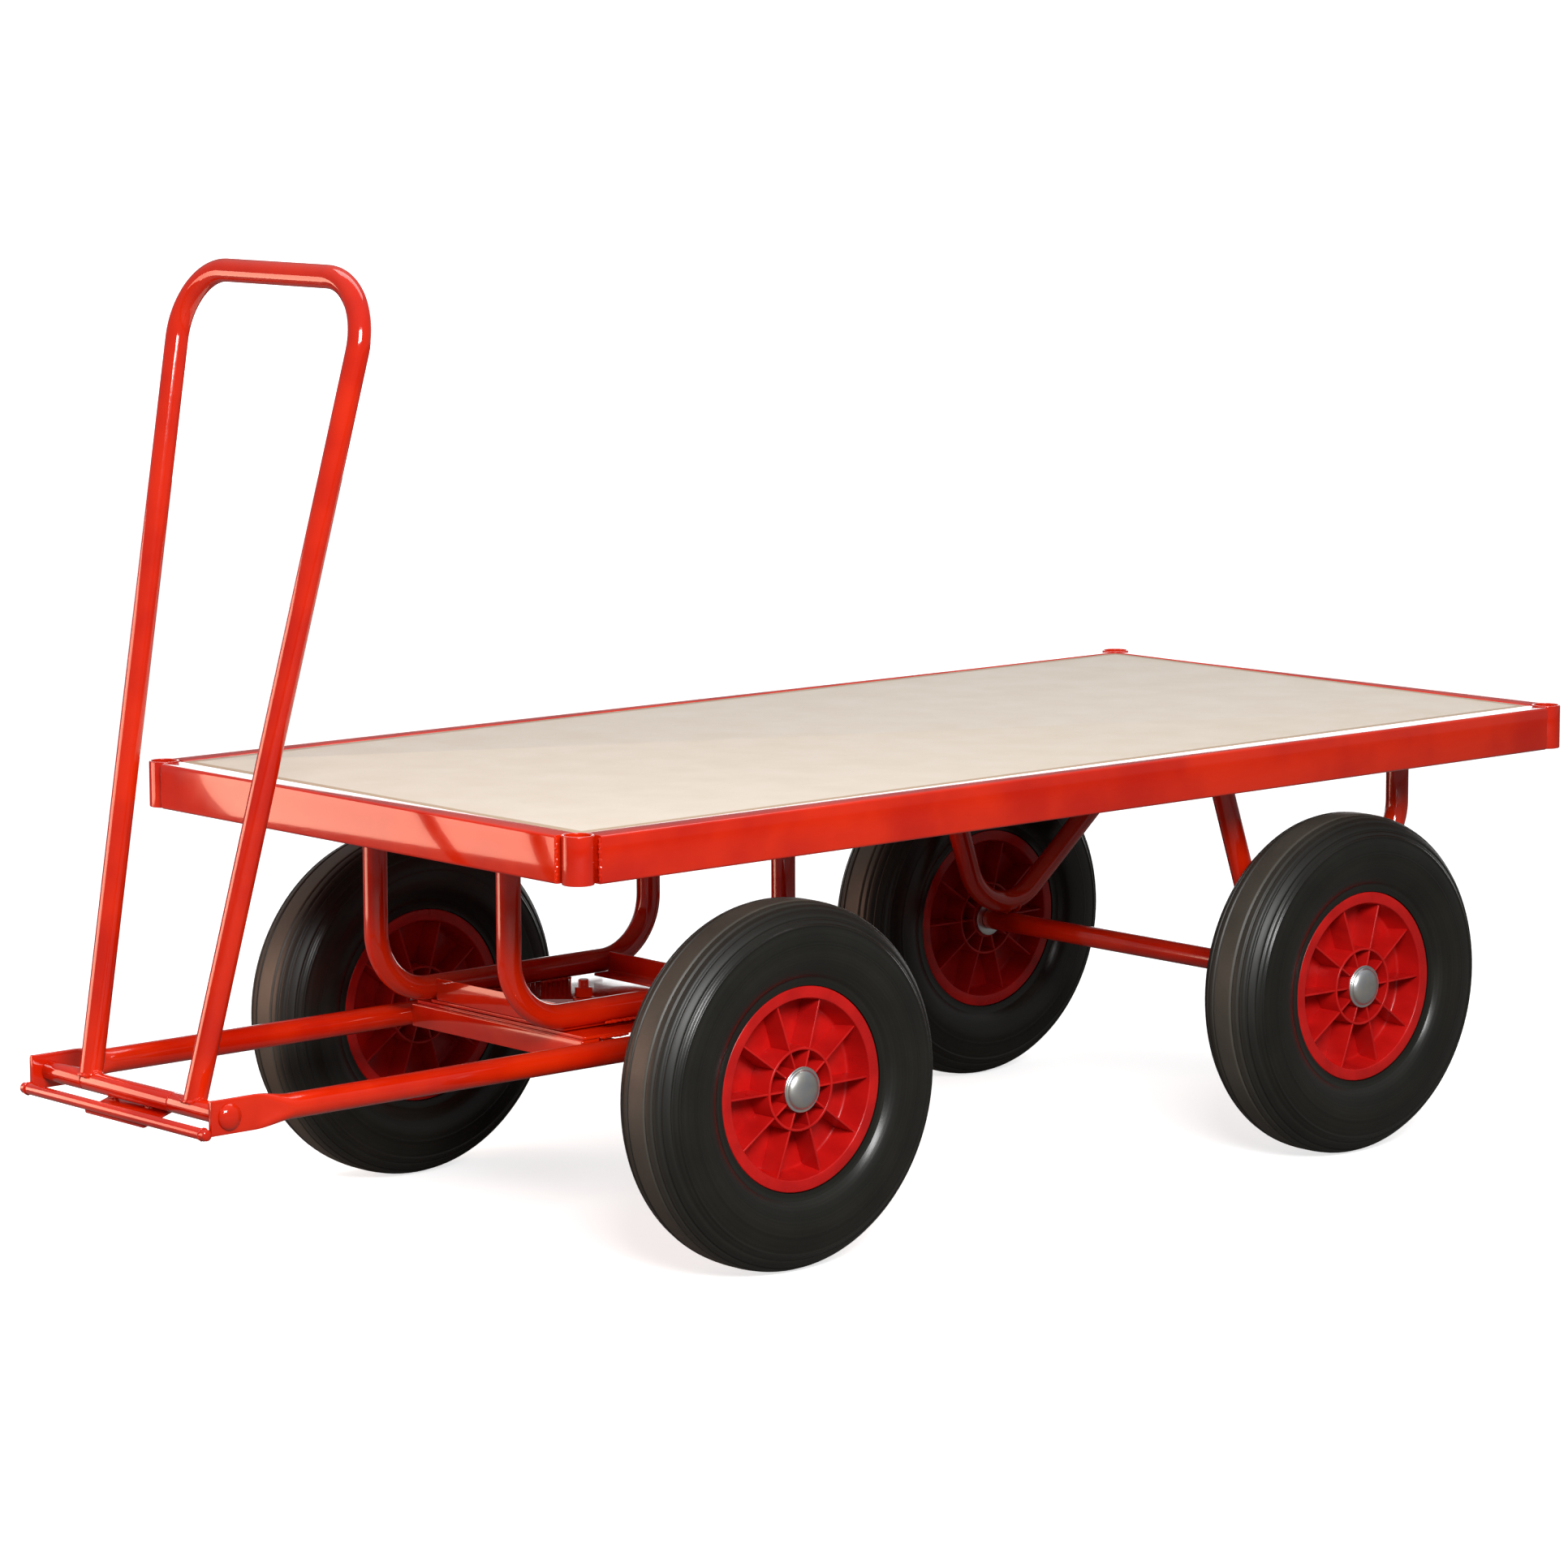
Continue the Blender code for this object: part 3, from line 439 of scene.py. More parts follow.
class Box:
    """The box at rest of one CAD node, or of several together."""

    def __init__(self, *nodes: str) -> None:
        """Measures the nodes."""
        corners = np.array([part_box(node) for node in nodes])
        self.low: Array = corners[:, 0].min(axis=0)
        self.high: Array = corners[:, 1].max(axis=0)
        self.centre: Array = (self.low + self.high) / 2
        self.size: Array = self.high - self.low
        self.foot: Array = np.array([*self.centre[:2], self.low[2]])


def joined(surfaces: Sequence[Surface]) -> Surface:
    """Puts several closed surfaces in one, each with its own points."""
    starts = np.cumsum([0] + [len(surface.points) for surface in surfaces[:-1]])
    pairs = list(zip(surfaces, starts))
    points = np.concatenate([surface.points for surface in surfaces])
    quads = np.concatenate([surface.quads + start for surface, start in pairs])
    return Surface(points, quads, [end + start for surface, start in pairs for end in surface.ends])


def unit(vectors: Array) -> Array:
    """Scales vectors to a length of one."""
    return vectors / np.linalg.norm(vectors, axis=-1, keepdims=True)


def square_axes(axis: Array) -> tuple[Array, Array]:
    """Gives two directions that are square to an axis and to each other."""
    first = unit(np.cross(axis, np.eye(3)[np.argmin(np.abs(axis))]))
    return first, np.cross(axis, first)


def skin(rings: Array, endless: bool = False) -> Surface:
    """Joins rings of points into a closed surface whose faces point outwards.

    The faces are turned round when the volume inside them, the sum of each face's pyramid, is negative.

    Args:
        rings: Points as rows of rings, rings of points and three coordinates.
        endless: Whether the last ring meets the first. If not, a face closes each end.

    Returns:
        The surface.
    """
    index = np.arange(rings.shape[0] * rings.shape[1]).reshape(rings.shape[:2])
    near, far = (index, np.roll(index, -1, axis=0)) if endless else (index[:-1], index[1:])
    quads = np.stack([near, np.roll(near, -1, axis=1), np.roll(far, -1, axis=1), far], axis=-1).reshape(-1, 4)
    ends = [] if endless else [index[0][::-1], index[-1]]
    points = rings.reshape(-1, 3)
    centred = points - points.mean(axis=0)
    a, b, c, d = (centred[quads[:, corner]] for corner in range(4))
    volume = (np.cross(a, b) * c).sum() + (np.cross(a, c) * d).sum()
    for end in ends:
        rim = centred[end]
        volume += (np.cross(rim, np.roll(rim, -1, axis=0)) @ rim.mean(axis=0)).sum()
    if volume < 0:
        quads, ends = quads[:, ::-1], [end[::-1] for end in ends]
    return Surface(points, quads, ends)


def circle(radius: float, steps: int = 32) -> Array:
    """A round outline: radius times the cosine and sine of even angles."""
    angle = np.arange(steps) * (2 * np.pi / steps)
    return radius * np.stack([np.cos(angle), np.sin(angle)], axis=-1)


def rounded(
    corners: Array | list, radii: float | Sequence[float], steps: int = 4, closed: bool = True
) -> Array:
    """Rounds an outline's or a route's corners with arcs that touch both of their edges.

    An arc's centre lies on the corner's bisector, at the radius over the sine of half the corner's angle.

    Args:
        corners: The corners, in two or three coordinates.
        radii: One radius for all corners, or one for each. A corner of radius 0 stays sharp.
        steps: The stretches in each arc.
        closed: Whether the last corner meets the first. If not, both end points stay as they are.

    Returns:
        The rounded points in order.
    """
    corners = np.asarray(corners, float)
    radii = np.array(np.broadcast_to(radii, len(corners)), float)
    if not closed:
        radii[[0, -1]] = 0.0
    made = []
    neighbours = zip(np.roll(corners, 1, axis=0), corners, np.roll(corners, -1, axis=0), radii)
    for before, corner, after, radius in neighbours:
        if radius == 0:
            made.append(corner[None])
            continue
        inward, outward = unit(before - corner), unit(after - corner)
        half = np.arccos(inward @ outward) / 2
        centre = corner + unit(inward + outward) * (radius / np.sin(half))
        start = corner + inward * (radius / np.tan(half)) - centre
        turn = np.linspace(0, np.pi - 2 * half, steps + 1)[:, None]
        made.append(centre + start * np.cos(turn) - inward * radius * np.sin(turn))
    return np.concatenate(made)


def even_steps(path: Array, spacing: float, closed: bool = False) -> Array:
    """Places points at even distances along a path of straight stretches."""
    if closed:
        path = np.concatenate([path, path[:1]])
    lengths = np.linalg.norm(np.diff(path, axis=0), axis=1)
    along = np.concatenate([[0.0], np.cumsum(lengths)])
    count = max(3, round(along[-1] / spacing))
    places = np.linspace(0, along[-1], count + 1)[: count if closed else count + 1]
    return np.stack([np.interp(places, along, values) for values in path.T], axis=-1)


def carried(path: Array, outline: Array, upright: Array, closed: bool = False) -> Array:
    """Carries an outline along a path.

    A point is the path's point, plus its first coordinate along the side and its second along the up: the
    side is square to the path and to the upright given, and the up is square to the path and the side.

    Args:
        path: The points of the path.
        outline: The outline's points, the same all along or one set for each point of the path.
        upright: A direction that the path never runs along.
        closed: Whether the path meets its own start.

    Returns:
        The rings.
    """
    ahead = np.roll(path, -1, axis=0) - np.roll(path, 1, axis=0) if closed else np.gradient(path, axis=0)
    ahead = unit(ahead)
    side = unit(np.cross(ahead, upright))
    up = np.cross(side, ahead)
    outline = np.broadcast_to(outline, (len(path), *outline.shape[-2:]))
    return path[:, None] + side[:, None] * outline[..., :1] + up[:, None] * outline[..., 1:]


def soften(rings: Array, edge: float, steps: int = 3) -> Array:
    """Rounds the rims of both ends: the last rings draw in along a quarter of a circle.

    Args:
        rings: The rings of an open surface.
        edge: The radius of the rims.
        steps: The stretches in each quarter.

    Returns:
        The rings with the rims' own added.
    """

    def rim(ring: Array, inner: Array) -> Array:
        """The rings of one end, from the full one to the one that is drawn in most."""
        middle = ring.mean(axis=0)
        outward = unit(middle - inner.mean(axis=0))
        turn = np.linspace(0, np.pi / 2, steps + 1)[:, None, None]
        return ring + outward * edge * (np.sin(turn) - 1) + unit(middle - ring) * edge * (1 - np.cos(turn))

    first, last = rim(rings[0], rings[1])[::-1], rim(rings[-1], rings[-2])
    return np.concatenate([first, rings[1:-1], last])


def bar_rings(low: Array, high: Array, along: int, corner: float, edge: float = 0.4 * MM) -> Array:
    """The rings of a bar between two corners of a box.

    Its outline is a rectangle with round corners, carried along the axis that is numbered.
    """
    across, up = (along + 1) % 3, (along + 2) % 3
    near, far, bottom, top = low[across], high[across], low[up], high[up]
    outline = rounded([(near, bottom), (far, bottom), (far, top), (near, top)], corner)
    rings = np.empty((2, len(outline), 3))
    rings[..., across], rings[..., up] = outline[:, 0], outline[:, 1]
    rings[0, :, along], rings[1, :, along] = low[along], high[along]
    return soften(rings, edge)


def bar(low: Array, high: Array, along: int, corner: float, edge: float = 0.4 * MM) -> Surface:
    """A closed bar between two corners of a box."""
    return skin(bar_rings(low, high, along, corner, edge))


def tube(path: Array, radius: float, upright: Array, sides: int = 36, edge: float = 0.5 * MM) -> Surface:
    """A round tube or bar along a path, with slightly rounded ends."""
    return skin(soften(carried(path, circle(radius, sides), upright), edge))


def turned(profile: Array, centre: Array, axis: Array, steps: int = 48, endless: bool = False) -> Surface:
    """Turns a profile about an axis.

    A point is the centre, plus its height along the axis, plus its radius times the cosine and sine of
    even angles along two directions square to the axis.

    Args:
        profile: Points of radius and height, or one set of them for each angle.
        centre: The place where the height is 0.
        axis: The direction of the height.
        steps: The number of angles.
        endless: Whether the profile meets its own start, as a ring's does.

    Returns:
        The surface.
    """
    profile = np.asarray(profile, float)
    if profile.ndim == 2:
        profile = profile[:, None]
    first, second = square_axes(axis)
    spin = circle(1.0, steps)
    around = spin[:, :1] * first + spin[:, 1:] * second
    return skin(centre + profile[..., 1:] * axis + profile[..., :1] * around, endless)


def mirrored(half: Array | list) -> Array:
    """Half of a profile followed by its other half, whose heights, in the second column, are negative."""
    other = np.array(half, float)[::-1]
    other[:, 1] *= -1
    return np.concatenate([half, other])


def washer(
    inner: float, outer: float, low: float, high: float, edge: float, centre: Array, axis: Array
) -> Surface:
    """A flat ring with rounded edges, between two heights along its axis."""
    outline = rounded([(inner, low), (outer, low), (outer, high), (inner, high)], edge)
    return turned(outline, centre, axis, endless=True)


def hexagon_reach(corner: float, steps: int) -> Array:
    """How far a hexagon's edge is from its centre, at even angles: half its width over a cosine."""
    angle = np.arange(steps) * (2 * np.pi / steps)
    off_flat = np.mod(angle + np.pi / 6, np.pi / 3) - np.pi / 6
    return corner * np.cos(np.pi / 6) / np.cos(off_flat)


def hexagon(
    corner: float, bore: float, height: float, centre: Array, axis: Array, steps: int = 72
) -> Surface:
    """A hexagon nut, or a bolt's head when the bore is 0, its corners cut back by a cone at each face.

    The side's rim sinks by half of what the hexagon reaches past the circle of the faces.

    Args:
        corner: The radius of the hexagon's corners.
        bore: The radius of the hole.
        height: The height from the seat.
        centre: The middle of the seat.
        axis: The direction from the seat to the top.
        steps: The number of angles.

    Returns:
        The surface.
    """
    reach = hexagon_reach(corner, steps)
    face = corner * math.cos(math.pi / 6) * 0.97
    sink = (reach - face) * 0.5
    hole = max(bore, 0.5 * MM)
    rows = [(hole, 0.0), (face, 0.0), (reach, sink), (reach, height - sink), (face, height), (hole, height)]
    profile = np.array([np.broadcast_arrays(radius, level, reach)[:2] for radius, level in rows])
    return turned(profile.transpose(0, 2, 1), centre, axis, steps, endless=bore > 0)


def thread(radius: float, length: float, centre: Array, axis: Array, pitch: float = 1.75 * MM) -> Surface:
    """A threaded stud: its radius dips once each pitch, and the dip climbs by one pitch each turn."""
    steps, rows = 48, max(6, round(length / (0.125 * pitch)))
    height = np.linspace(0, length, rows)[:, None]
    turn = np.arange(steps)[None] / steps
    dip = 0.5 - 0.5 * np.cos(2 * np.pi * (height / pitch - turn))
    end = np.clip((length - height) / (0.6 * pitch), 0, 1)
    reach = radius - 0.45 * MM * dip - 0.8 * MM * (1 - end)
    profile = np.stack([reach, np.broadcast_to(height, reach.shape)], axis=-1)
    return turned(profile, centre, axis, steps)


def bead(
    path: Array | list, radius: float, upright: Array = ALONG_Z, closed: bool = False, phase: float = 0.0
) -> Surface:
    """A run of weld along a path.

    Its radius swells once for each drop of metal, wanders slowly, is lumpy round its own section, and closes
    to a round end.

    Args:
        path: The points that it follows.
        radius: The radius of a full drop.
        upright: A direction that the path never runs along.
        closed: Whether the path meets its own start.
        phase: Where the drops start, in radians.

    Returns:
        The surface.
    """
    path = even_steps(np.asarray(path, float), radius * 0.38, closed)
    along = np.arange(len(path)) * radius * 0.38
    drops = 0.72 + 0.28 * np.abs(np.sin(np.pi * along / (1.9 * radius) + phase))
    swell = drops + 0.12 * np.sin(0.61 * along / radius + 2.3 * phase)
    if not closed:
        from_end = np.minimum(along, along[-1] - along) / radius
        swell *= np.sqrt(np.clip(1 - np.clip(1 - from_end, 0, 1) ** 2, 0.03, 1))
    angle = np.arange(12) * (np.pi / 6)
    lumps = 1 + 0.14 * np.sin(3 * angle + 1.7 * along[:, None] / radius + phase)
    outline = circle(radius, 12) * (swell[:, None] * lumps)[..., None]
    return skin(carried(path, outline, upright, closed), closed)


def ring_bead(centre: Array, axis: Array, radius: float, size: float, phase: float = 0.0) -> Surface:
    """A run of weld of this size round a circle about an axis."""
    first, second = square_axes(axis)
    spin = circle(radius, 48)
    return bead(centre + spin[:, :1] * first + spin[:, 1:] * second, size, axis, True, phase)


def crossing_beads(
    place: Array, over: Array, under: Array, radius: float, off: float, size: float
) -> list[Surface]:
    """The two short welds where one tube lies across another.

    Each is an arc round the upper tube's underside, on either side of the lower one.

    Args:
        place: The upper tube's centre over the crossing.
        over: The upper tube's direction.
        under: The lower tube's direction.
        radius: The upper tube's radius.
        off: How far each weld is from the middle of the crossing.
        size: The radius of the weld.

    Returns:
        Both surfaces.
    """
    turn = np.radians(np.linspace(-62, 62, 24))[:, None]
    arc = radius * (np.sin(turn) * under - np.cos(turn) * ALONG_Z)
    return [bead(place + arc + way * off * over, size, over, phase=way) for way in (-1, 1)]


# Pieces


class Shop:
    """Makes the finishes once, and turns surfaces into pieces that ride on the right bodies."""

    def __init__(self, finishes: dict[Slot, Finish]) -> None:
        """Makes every finish and notes which body each node belongs to."""
        self.materials = {slot: finish.make() for slot, finish in finishes.items()}
        bodies = frame["record"]["behaviour"]["bodies"]
        self.body_of = {node: body for body, nodes in bodies.items() for node in nodes}
        self.made: list[bpy.types.Object] = []

    def piece(
        self, name: str, surface: Surface, slot: Slot, *nodes: str, beside: str = "", crease: float = CREASE
    ) -> None:
        """Makes one piece.

        Args:
            name: Its own name.
            surface: Its shape, in place.
            slot: Its material slot.
            nodes: The CAD nodes that it stands for.
            beside: A CAD node on its body, for a piece that stands for none.
            crease: The angle in degrees past which an edge stays sharp.
        """
        mesh = surface.mesh(name, math.radians(crease))
        mesh.materials.append(self.materials[slot])
        made = bpy.data.objects.new(name, mesh)
        bpy.context.scene.collection.objects.link(made)
        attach(made, self.body_of[nodes[0] if nodes else beside])
        if nodes:
            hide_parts(*nodes)
        self.made.append(made)

    def stand_in(self, node: str, surface: Surface, slot: Slot = Slot.PAINT, crease: float = CREASE) -> None:
        """Makes the fine piece that stands for one CAD node."""
        self.piece(f"{node}_finished", surface, slot, node, crease=crease)

    def block(
        self, node: str, along: int, corner: float, edge: float = 0.4 * MM, slot: Slot = Slot.PAINT
    ) -> None:
        """Makes the bar with round corners that fills one CAD node's box."""
        box = Box(node)
        self.stand_in(node, bar(box.low, box.high, along, corner, edge), slot)

    def welds(self, name: str, runs: Sequence[Surface], beside: str) -> None:
        """Makes one painted piece of several runs of weld, on the body of the node beside them."""
        self.piece(name, joined(runs), Slot.PAINT, beside=beside)


@dataclass
class DeckFrame:
    """The rail frame, its corner sockets, the bearers under it and the board in it."""

    rail_corner: float = 3.2 * MM
    bearer_corner: float = 2.5 * MM
    bearer_count: int = 4
    socket_wall: float = 2.6 * MM
    socket_edge: float = 0.9 * MM
    board_corner: float = 1.0 * MM
    board_edge: float = 0.6 * MM
    weld: float = 2.1 * MM
    weld_inset: float = 2.4 * MM

    def build(self, shop: Shop) -> None:
        """Builds the whole deck."""
        for node, along in (("left_rail", 0), ("right_rail", 0), ("front_rail", 1), ("rear_rail", 1)):
            shop.block(node, along, self.rail_corner)
        corners = list(product(ENDS, SIDES))
        for end, side in corners:
            self.build_socket(shop, f"{end}_{side}_socket")
        for end, side in corners:
            self.build_corner_weld(shop, end, side)
        shop.block("deck_board", 2, self.board_corner, self.board_edge, Slot.BOARD)
        for index in range(self.bearer_count):
            shop.block(f"bearer_{index + 1}", 1, self.bearer_corner)

    def build_socket(self, shop: Shop, node: str) -> None:
        """Builds one of the open tubes that take the corner stakes."""
        box = Box(node)
        outer, half = box.size[0] / 2, box.size[2] / 2
        wall = washer(outer - self.socket_wall, outer, -half, half, self.socket_edge, box.centre, ALONG_Z)
        shop.stand_in(node, wall)

    def build_corner_weld(self, shop: Shop, end: str, side: str) -> None:
        """Builds the two runs of weld down a corner's faces, where the rails meet the socket."""
        ahead, out = ENDS[end], SIDES[side]
        long_rail, short_rail = Box(f"{side}_rail"), Box(f"{end}_rail")
        x = long_rail.low[0] if ahead < 0 else long_rail.high[0]
        y = short_rail.low[1] if out < 0 else short_rail.high[1]
        face_x = (short_rail.low if ahead < 0 else short_rail.high)[0] - ahead * self.weld_inset
        face_y = (long_rail.low if out < 0 else long_rail.high)[1] - out * self.weld_inset
        low, high = long_rail.low[2] + self.weld, long_rail.high[2] - self.weld
        runs = [
            bead([(x, face_y, low), (x, face_y, high)], self.weld, ALONG_X, phase=out),
            bead([(face_x, y, low), (face_x, y, high)], self.weld, ALONG_X, phase=ahead),
        ]
        shop.welds(f"{end}_{side}_corner_weld", runs, f"{end}_{side}_socket")


@dataclass
class FrontHoops:
    """The two U-shaped tubes that hang the turntable under the front of the deck."""

    bend: float = 0.070
    weld: float = 1.9 * MM
    foot_weld_length: float = 0.045
    foot_weld_starts: tuple[float, float] = (-0.072, 0.027)
    foot_weld_angle: float = math.radians(55)
    foot_weld_rise: float = 0.7

    def build(self, shop: Shop) -> None:
        """Builds both hoops and their welds."""
        plate_top = Box("turntable_upper_plate").high[2]
        for side in SIDES:
            node = f"front_hoop_{side}"
            box = Box(node)
            radius = box.size[1] / 2
            y = box.centre[1]
            front, rear = box.low[0] + radius, box.high[0] - radius
            bottom, top = box.low[2] + radius, box.high[2]
            corners = [(front, y, top), (front, y, bottom), (rear, y, bottom), (rear, y, top)]
            shop.stand_in(node, tube(rounded(corners, self.bend, BEND_STEPS, closed=False), radius, ALONG_Y))
            runs = [ring_bead(np.array([x, y, top]), ALONG_Z, radius, self.weld) for x in (front, rear)]
            runs += self.foot_welds(box.centre[0], y, plate_top, radius)
            shop.welds(f"{node}_welds", runs, node)

    def foot_welds(self, middle: float, y: float, plate_top: float, radius: float) -> list[Surface]:
        """The short runs on both sides of the tube where it stands on the turntable's upper plate."""
        reach = radius * math.sin(self.foot_weld_angle)
        level = plate_top + self.weld * self.foot_weld_rise
        runs = []
        for start, way in product(self.foot_weld_starts, (-1, 1)):
            x, beside = middle + start, y + way * reach
            line = [(x, beside, level), (x + self.foot_weld_length, beside, level)]
            runs.append(bead(line, self.weld, phase=way))
        return runs


@dataclass
class RearBrackets:
    """The bent tubes over the rear axle, and the axle."""

    lead: float = 0.006
    bend: float = 0.066
    front_slope: float = math.radians(19)
    rear_slope: float = math.radians(50)
    rear_leg: float = 0.176
    chamfer: float = 1.0 * MM
    washer_gap: float = 0.4 * MM
    shoulder_slope: float = 0.5 * MM
    weld: float = 2.0 * MM
    weld_off: float = 7.5 * MM

    def build(self, shop: Shop) -> None:
        """Builds both brackets, the axle between them and the welds."""
        axle = Box("rear_axle").centre
        for side in SIDES:
            node = f"rear_bracket_{side}"
            box = Box(node)
            radius = box.size[1] / 2
            corners = self.corners(box, axle[0], radius)
            shop.stand_in(node, tube(rounded(corners, self.bend, BEND_STEPS, closed=False), radius, ALONG_Y))
            foot = np.array([axle[0], box.centre[1], box.low[2] + radius])
            runs = crossing_beads(foot, ALONG_X, ALONG_Y, radius, self.weld_off, self.weld)
            for place in (corners[0], corners[-1]):
                top = np.array([place[0], place[1], box.high[2]])
                runs.append(ring_bead(top, ALONG_Z, radius, self.weld))
            shop.welds(f"{node}_welds", runs, node)
        self.build_axle(shop)

    def corners(self, box: Box, axle_x: float, radius: float) -> Array:
        """The corners of a bracket's route.

        The foot's arc stands on the axle, and the raked leg and the steeper run leave it where its
        direction is theirs. The second corner is where those two runs would meet below the arc.

        Args:
            box: The bracket's box.
            axle_x: The axle's place along the trolley.
            radius: The tube's radius.

        Returns:
            Four corners: the raked leg's top, the foot, the knee and the post's top.
        """
        y, top = box.centre[1], box.high[2]
        front, rear = self.front_slope, self.rear_slope
        centre = np.array([axle_x - self.lead, y, box.low[2] + radius + self.bend])
        front_end = centre + self.bend * np.array([-math.cos(front), 0, -math.sin(front)])
        rear_end = centre + self.bend * np.array([math.cos(rear), 0, -math.sin(rear)])
        front_way = np.array([-math.sin(front), 0, math.cos(front)])
        rear_way = np.array([math.sin(rear), 0, math.cos(rear)])
        raked_top = top - radius * math.sin(front)
        front_top = front_end + front_way * ((raked_top - front_end[2]) / front_way[2])
        knee = rear_end + rear_way * ((axle_x + self.rear_leg - rear_end[0]) / rear_way[0])
        gap = rear_end - front_end
        cross = front_way[0] * rear_way[2] - front_way[2] * rear_way[0]
        along = (gap[0] * rear_way[2] - gap[2] * rear_way[0]) / cross
        return np.array([front_top, front_end + front_way * along, knee, (knee[0], y, top)])

    def build_axle(self, shop: Shop) -> None:
        """Builds the axle: a thick bar that steps down at each wheel's washer."""
        box = Box("rear_axle")
        thick, end = box.size[0] / 2, box.size[1] / 2
        thin = Box("front_axle").size[0] / 2
        step = Box("rear_right_washer").low[1] - self.washer_gap
        tip = [(thin - self.chamfer, end), (thin, end - self.chamfer)]
        half = [*tip, (thin, step), (thick, step - self.shoulder_slope)]
        shop.stand_in("rear_axle", turned(mirrored(half), box.centre, ALONG_Y))


@dataclass
class Turntable:
    """The upper plate in its tray of angles, the lower plate, the wear ring and the kingpin."""

    plate_corner: float = 4.0 * MM
    plate_edge: float = 0.6 * MM
    angle_thickness: float = 3.0 * MM
    angle_toe: float = 1.2 * MM
    angle_root: float = 2.6 * MM
    angle_edge: float = 0.4 * MM
    bolt_radius: float = 6.0 * MM
    ring_gap: float = 0.35 * MM
    ring_edge: float = 0.3 * MM
    washer_gap: float = 0.4 * MM
    washer_edge: float = 0.5 * MM
    nut_gap: float = 0.2 * MM
    weld: float = 1.6 * MM

    def build(self, shop: Shop) -> None:
        """Builds the plates, the angles, the ring and the kingpin."""
        for node in ("turntable_upper_plate", "turntable_lower_plate"):
            shop.block(node, 2, self.plate_corner, self.plate_edge)
        for end, ahead in ENDS.items():
            self.build_angle(shop, f"tray_angle_{end}", -ahead, 1)
            self.build_angle(shop, f"drawbar_cross_{end}", -ahead, -1)
        ring = Box("turntable_wear_ring")
        half = ring.size[2] / 2
        bore = self.bolt_radius + self.ring_gap
        wear = washer(bore, ring.size[0] / 2, -half, half, self.ring_edge, ring.centre, ALONG_Z)
        shop.stand_in("turntable_wear_ring", wear, Slot.NYLON)
        self.build_kingpin(shop)

    def build_angle(self, shop: Shop, node: str, way: int, up: int) -> None:
        """Builds an angle section across the trolley, with a round inner corner and toes.

        Args:
            shop: Where the piece goes.
            node: The CAD node that it stands for.
            way: 1 when its flat leg runs to the rear of its standing leg.
            up: 1 when its standing leg goes up from the flat one.
        """
        box = Box(node)
        leg_x, leg_z, thick = box.size[0], box.size[2], self.angle_thickness
        heel = np.array([box.low[0] if way > 0 else box.high[0], box.low[2] if up > 0 else box.high[2]])
        corners = [(0, 0), (leg_x, 0), (leg_x, thick), (thick, thick), (thick, leg_z), (0, leg_z)]
        toe, edge = self.angle_toe, self.angle_edge
        radii = [toe, edge, toe, self.angle_root, toe, edge]
        section = rounded(corners, radii) * (way, up) + heel
        rings = np.empty((2, len(section), 3))
        rings[..., 0], rings[..., 2] = section[:, 0], section[:, 1]
        rings[0, :, 1], rings[1, :, 1] = box.low[1], box.high[1]
        shop.stand_in(node, skin(rings))
        tip = heel[1] + up * leg_z
        x = heel[0] + way * thick / 2
        runs = [
            bead([(x, y, heel[1]), (x, y, tip - up * self.weld)], self.weld, ALONG_X, phase=y)
            for y in (box.low[1], box.high[1])
        ]
        shop.welds(f"{node}_welds", runs, node)

    def build_kingpin(self, shop: Shop) -> None:
        """Builds the hexagon bolt, with its washer and nut in the tray."""
        seat = Box("kingpin_washer")
        bore, outer = self.bolt_radius + self.washer_gap, seat.size[0] / 2
        ring = washer(bore, outer, 0, seat.size[2], self.washer_edge, seat.foot, ALONG_Z)
        shop.stand_in("kingpin_washer", ring)
        nut = Box("kingpin_nut")
        bore, corner = self.bolt_radius + self.nut_gap, nut.size[:2].max() / 2
        shop.stand_in("kingpin_nut", hexagon(corner, bore, nut.size[2], nut.foot, ALONG_Z))
        bolt = Box("kingpin_bolt")
        head = Box("turntable_lower_plate").low[2] - self.washer_gap - bolt.low[2]
        shank = thread(self.bolt_radius, bolt.size[2] - head, bolt.foot + ALONG_Z * head, ALONG_Z)
        parts = [hexagon(bolt.size[:2].max() / 2, 0, head, bolt.foot, ALONG_Z), shank]
        shop.stand_in("kingpin_bolt", joined(parts))


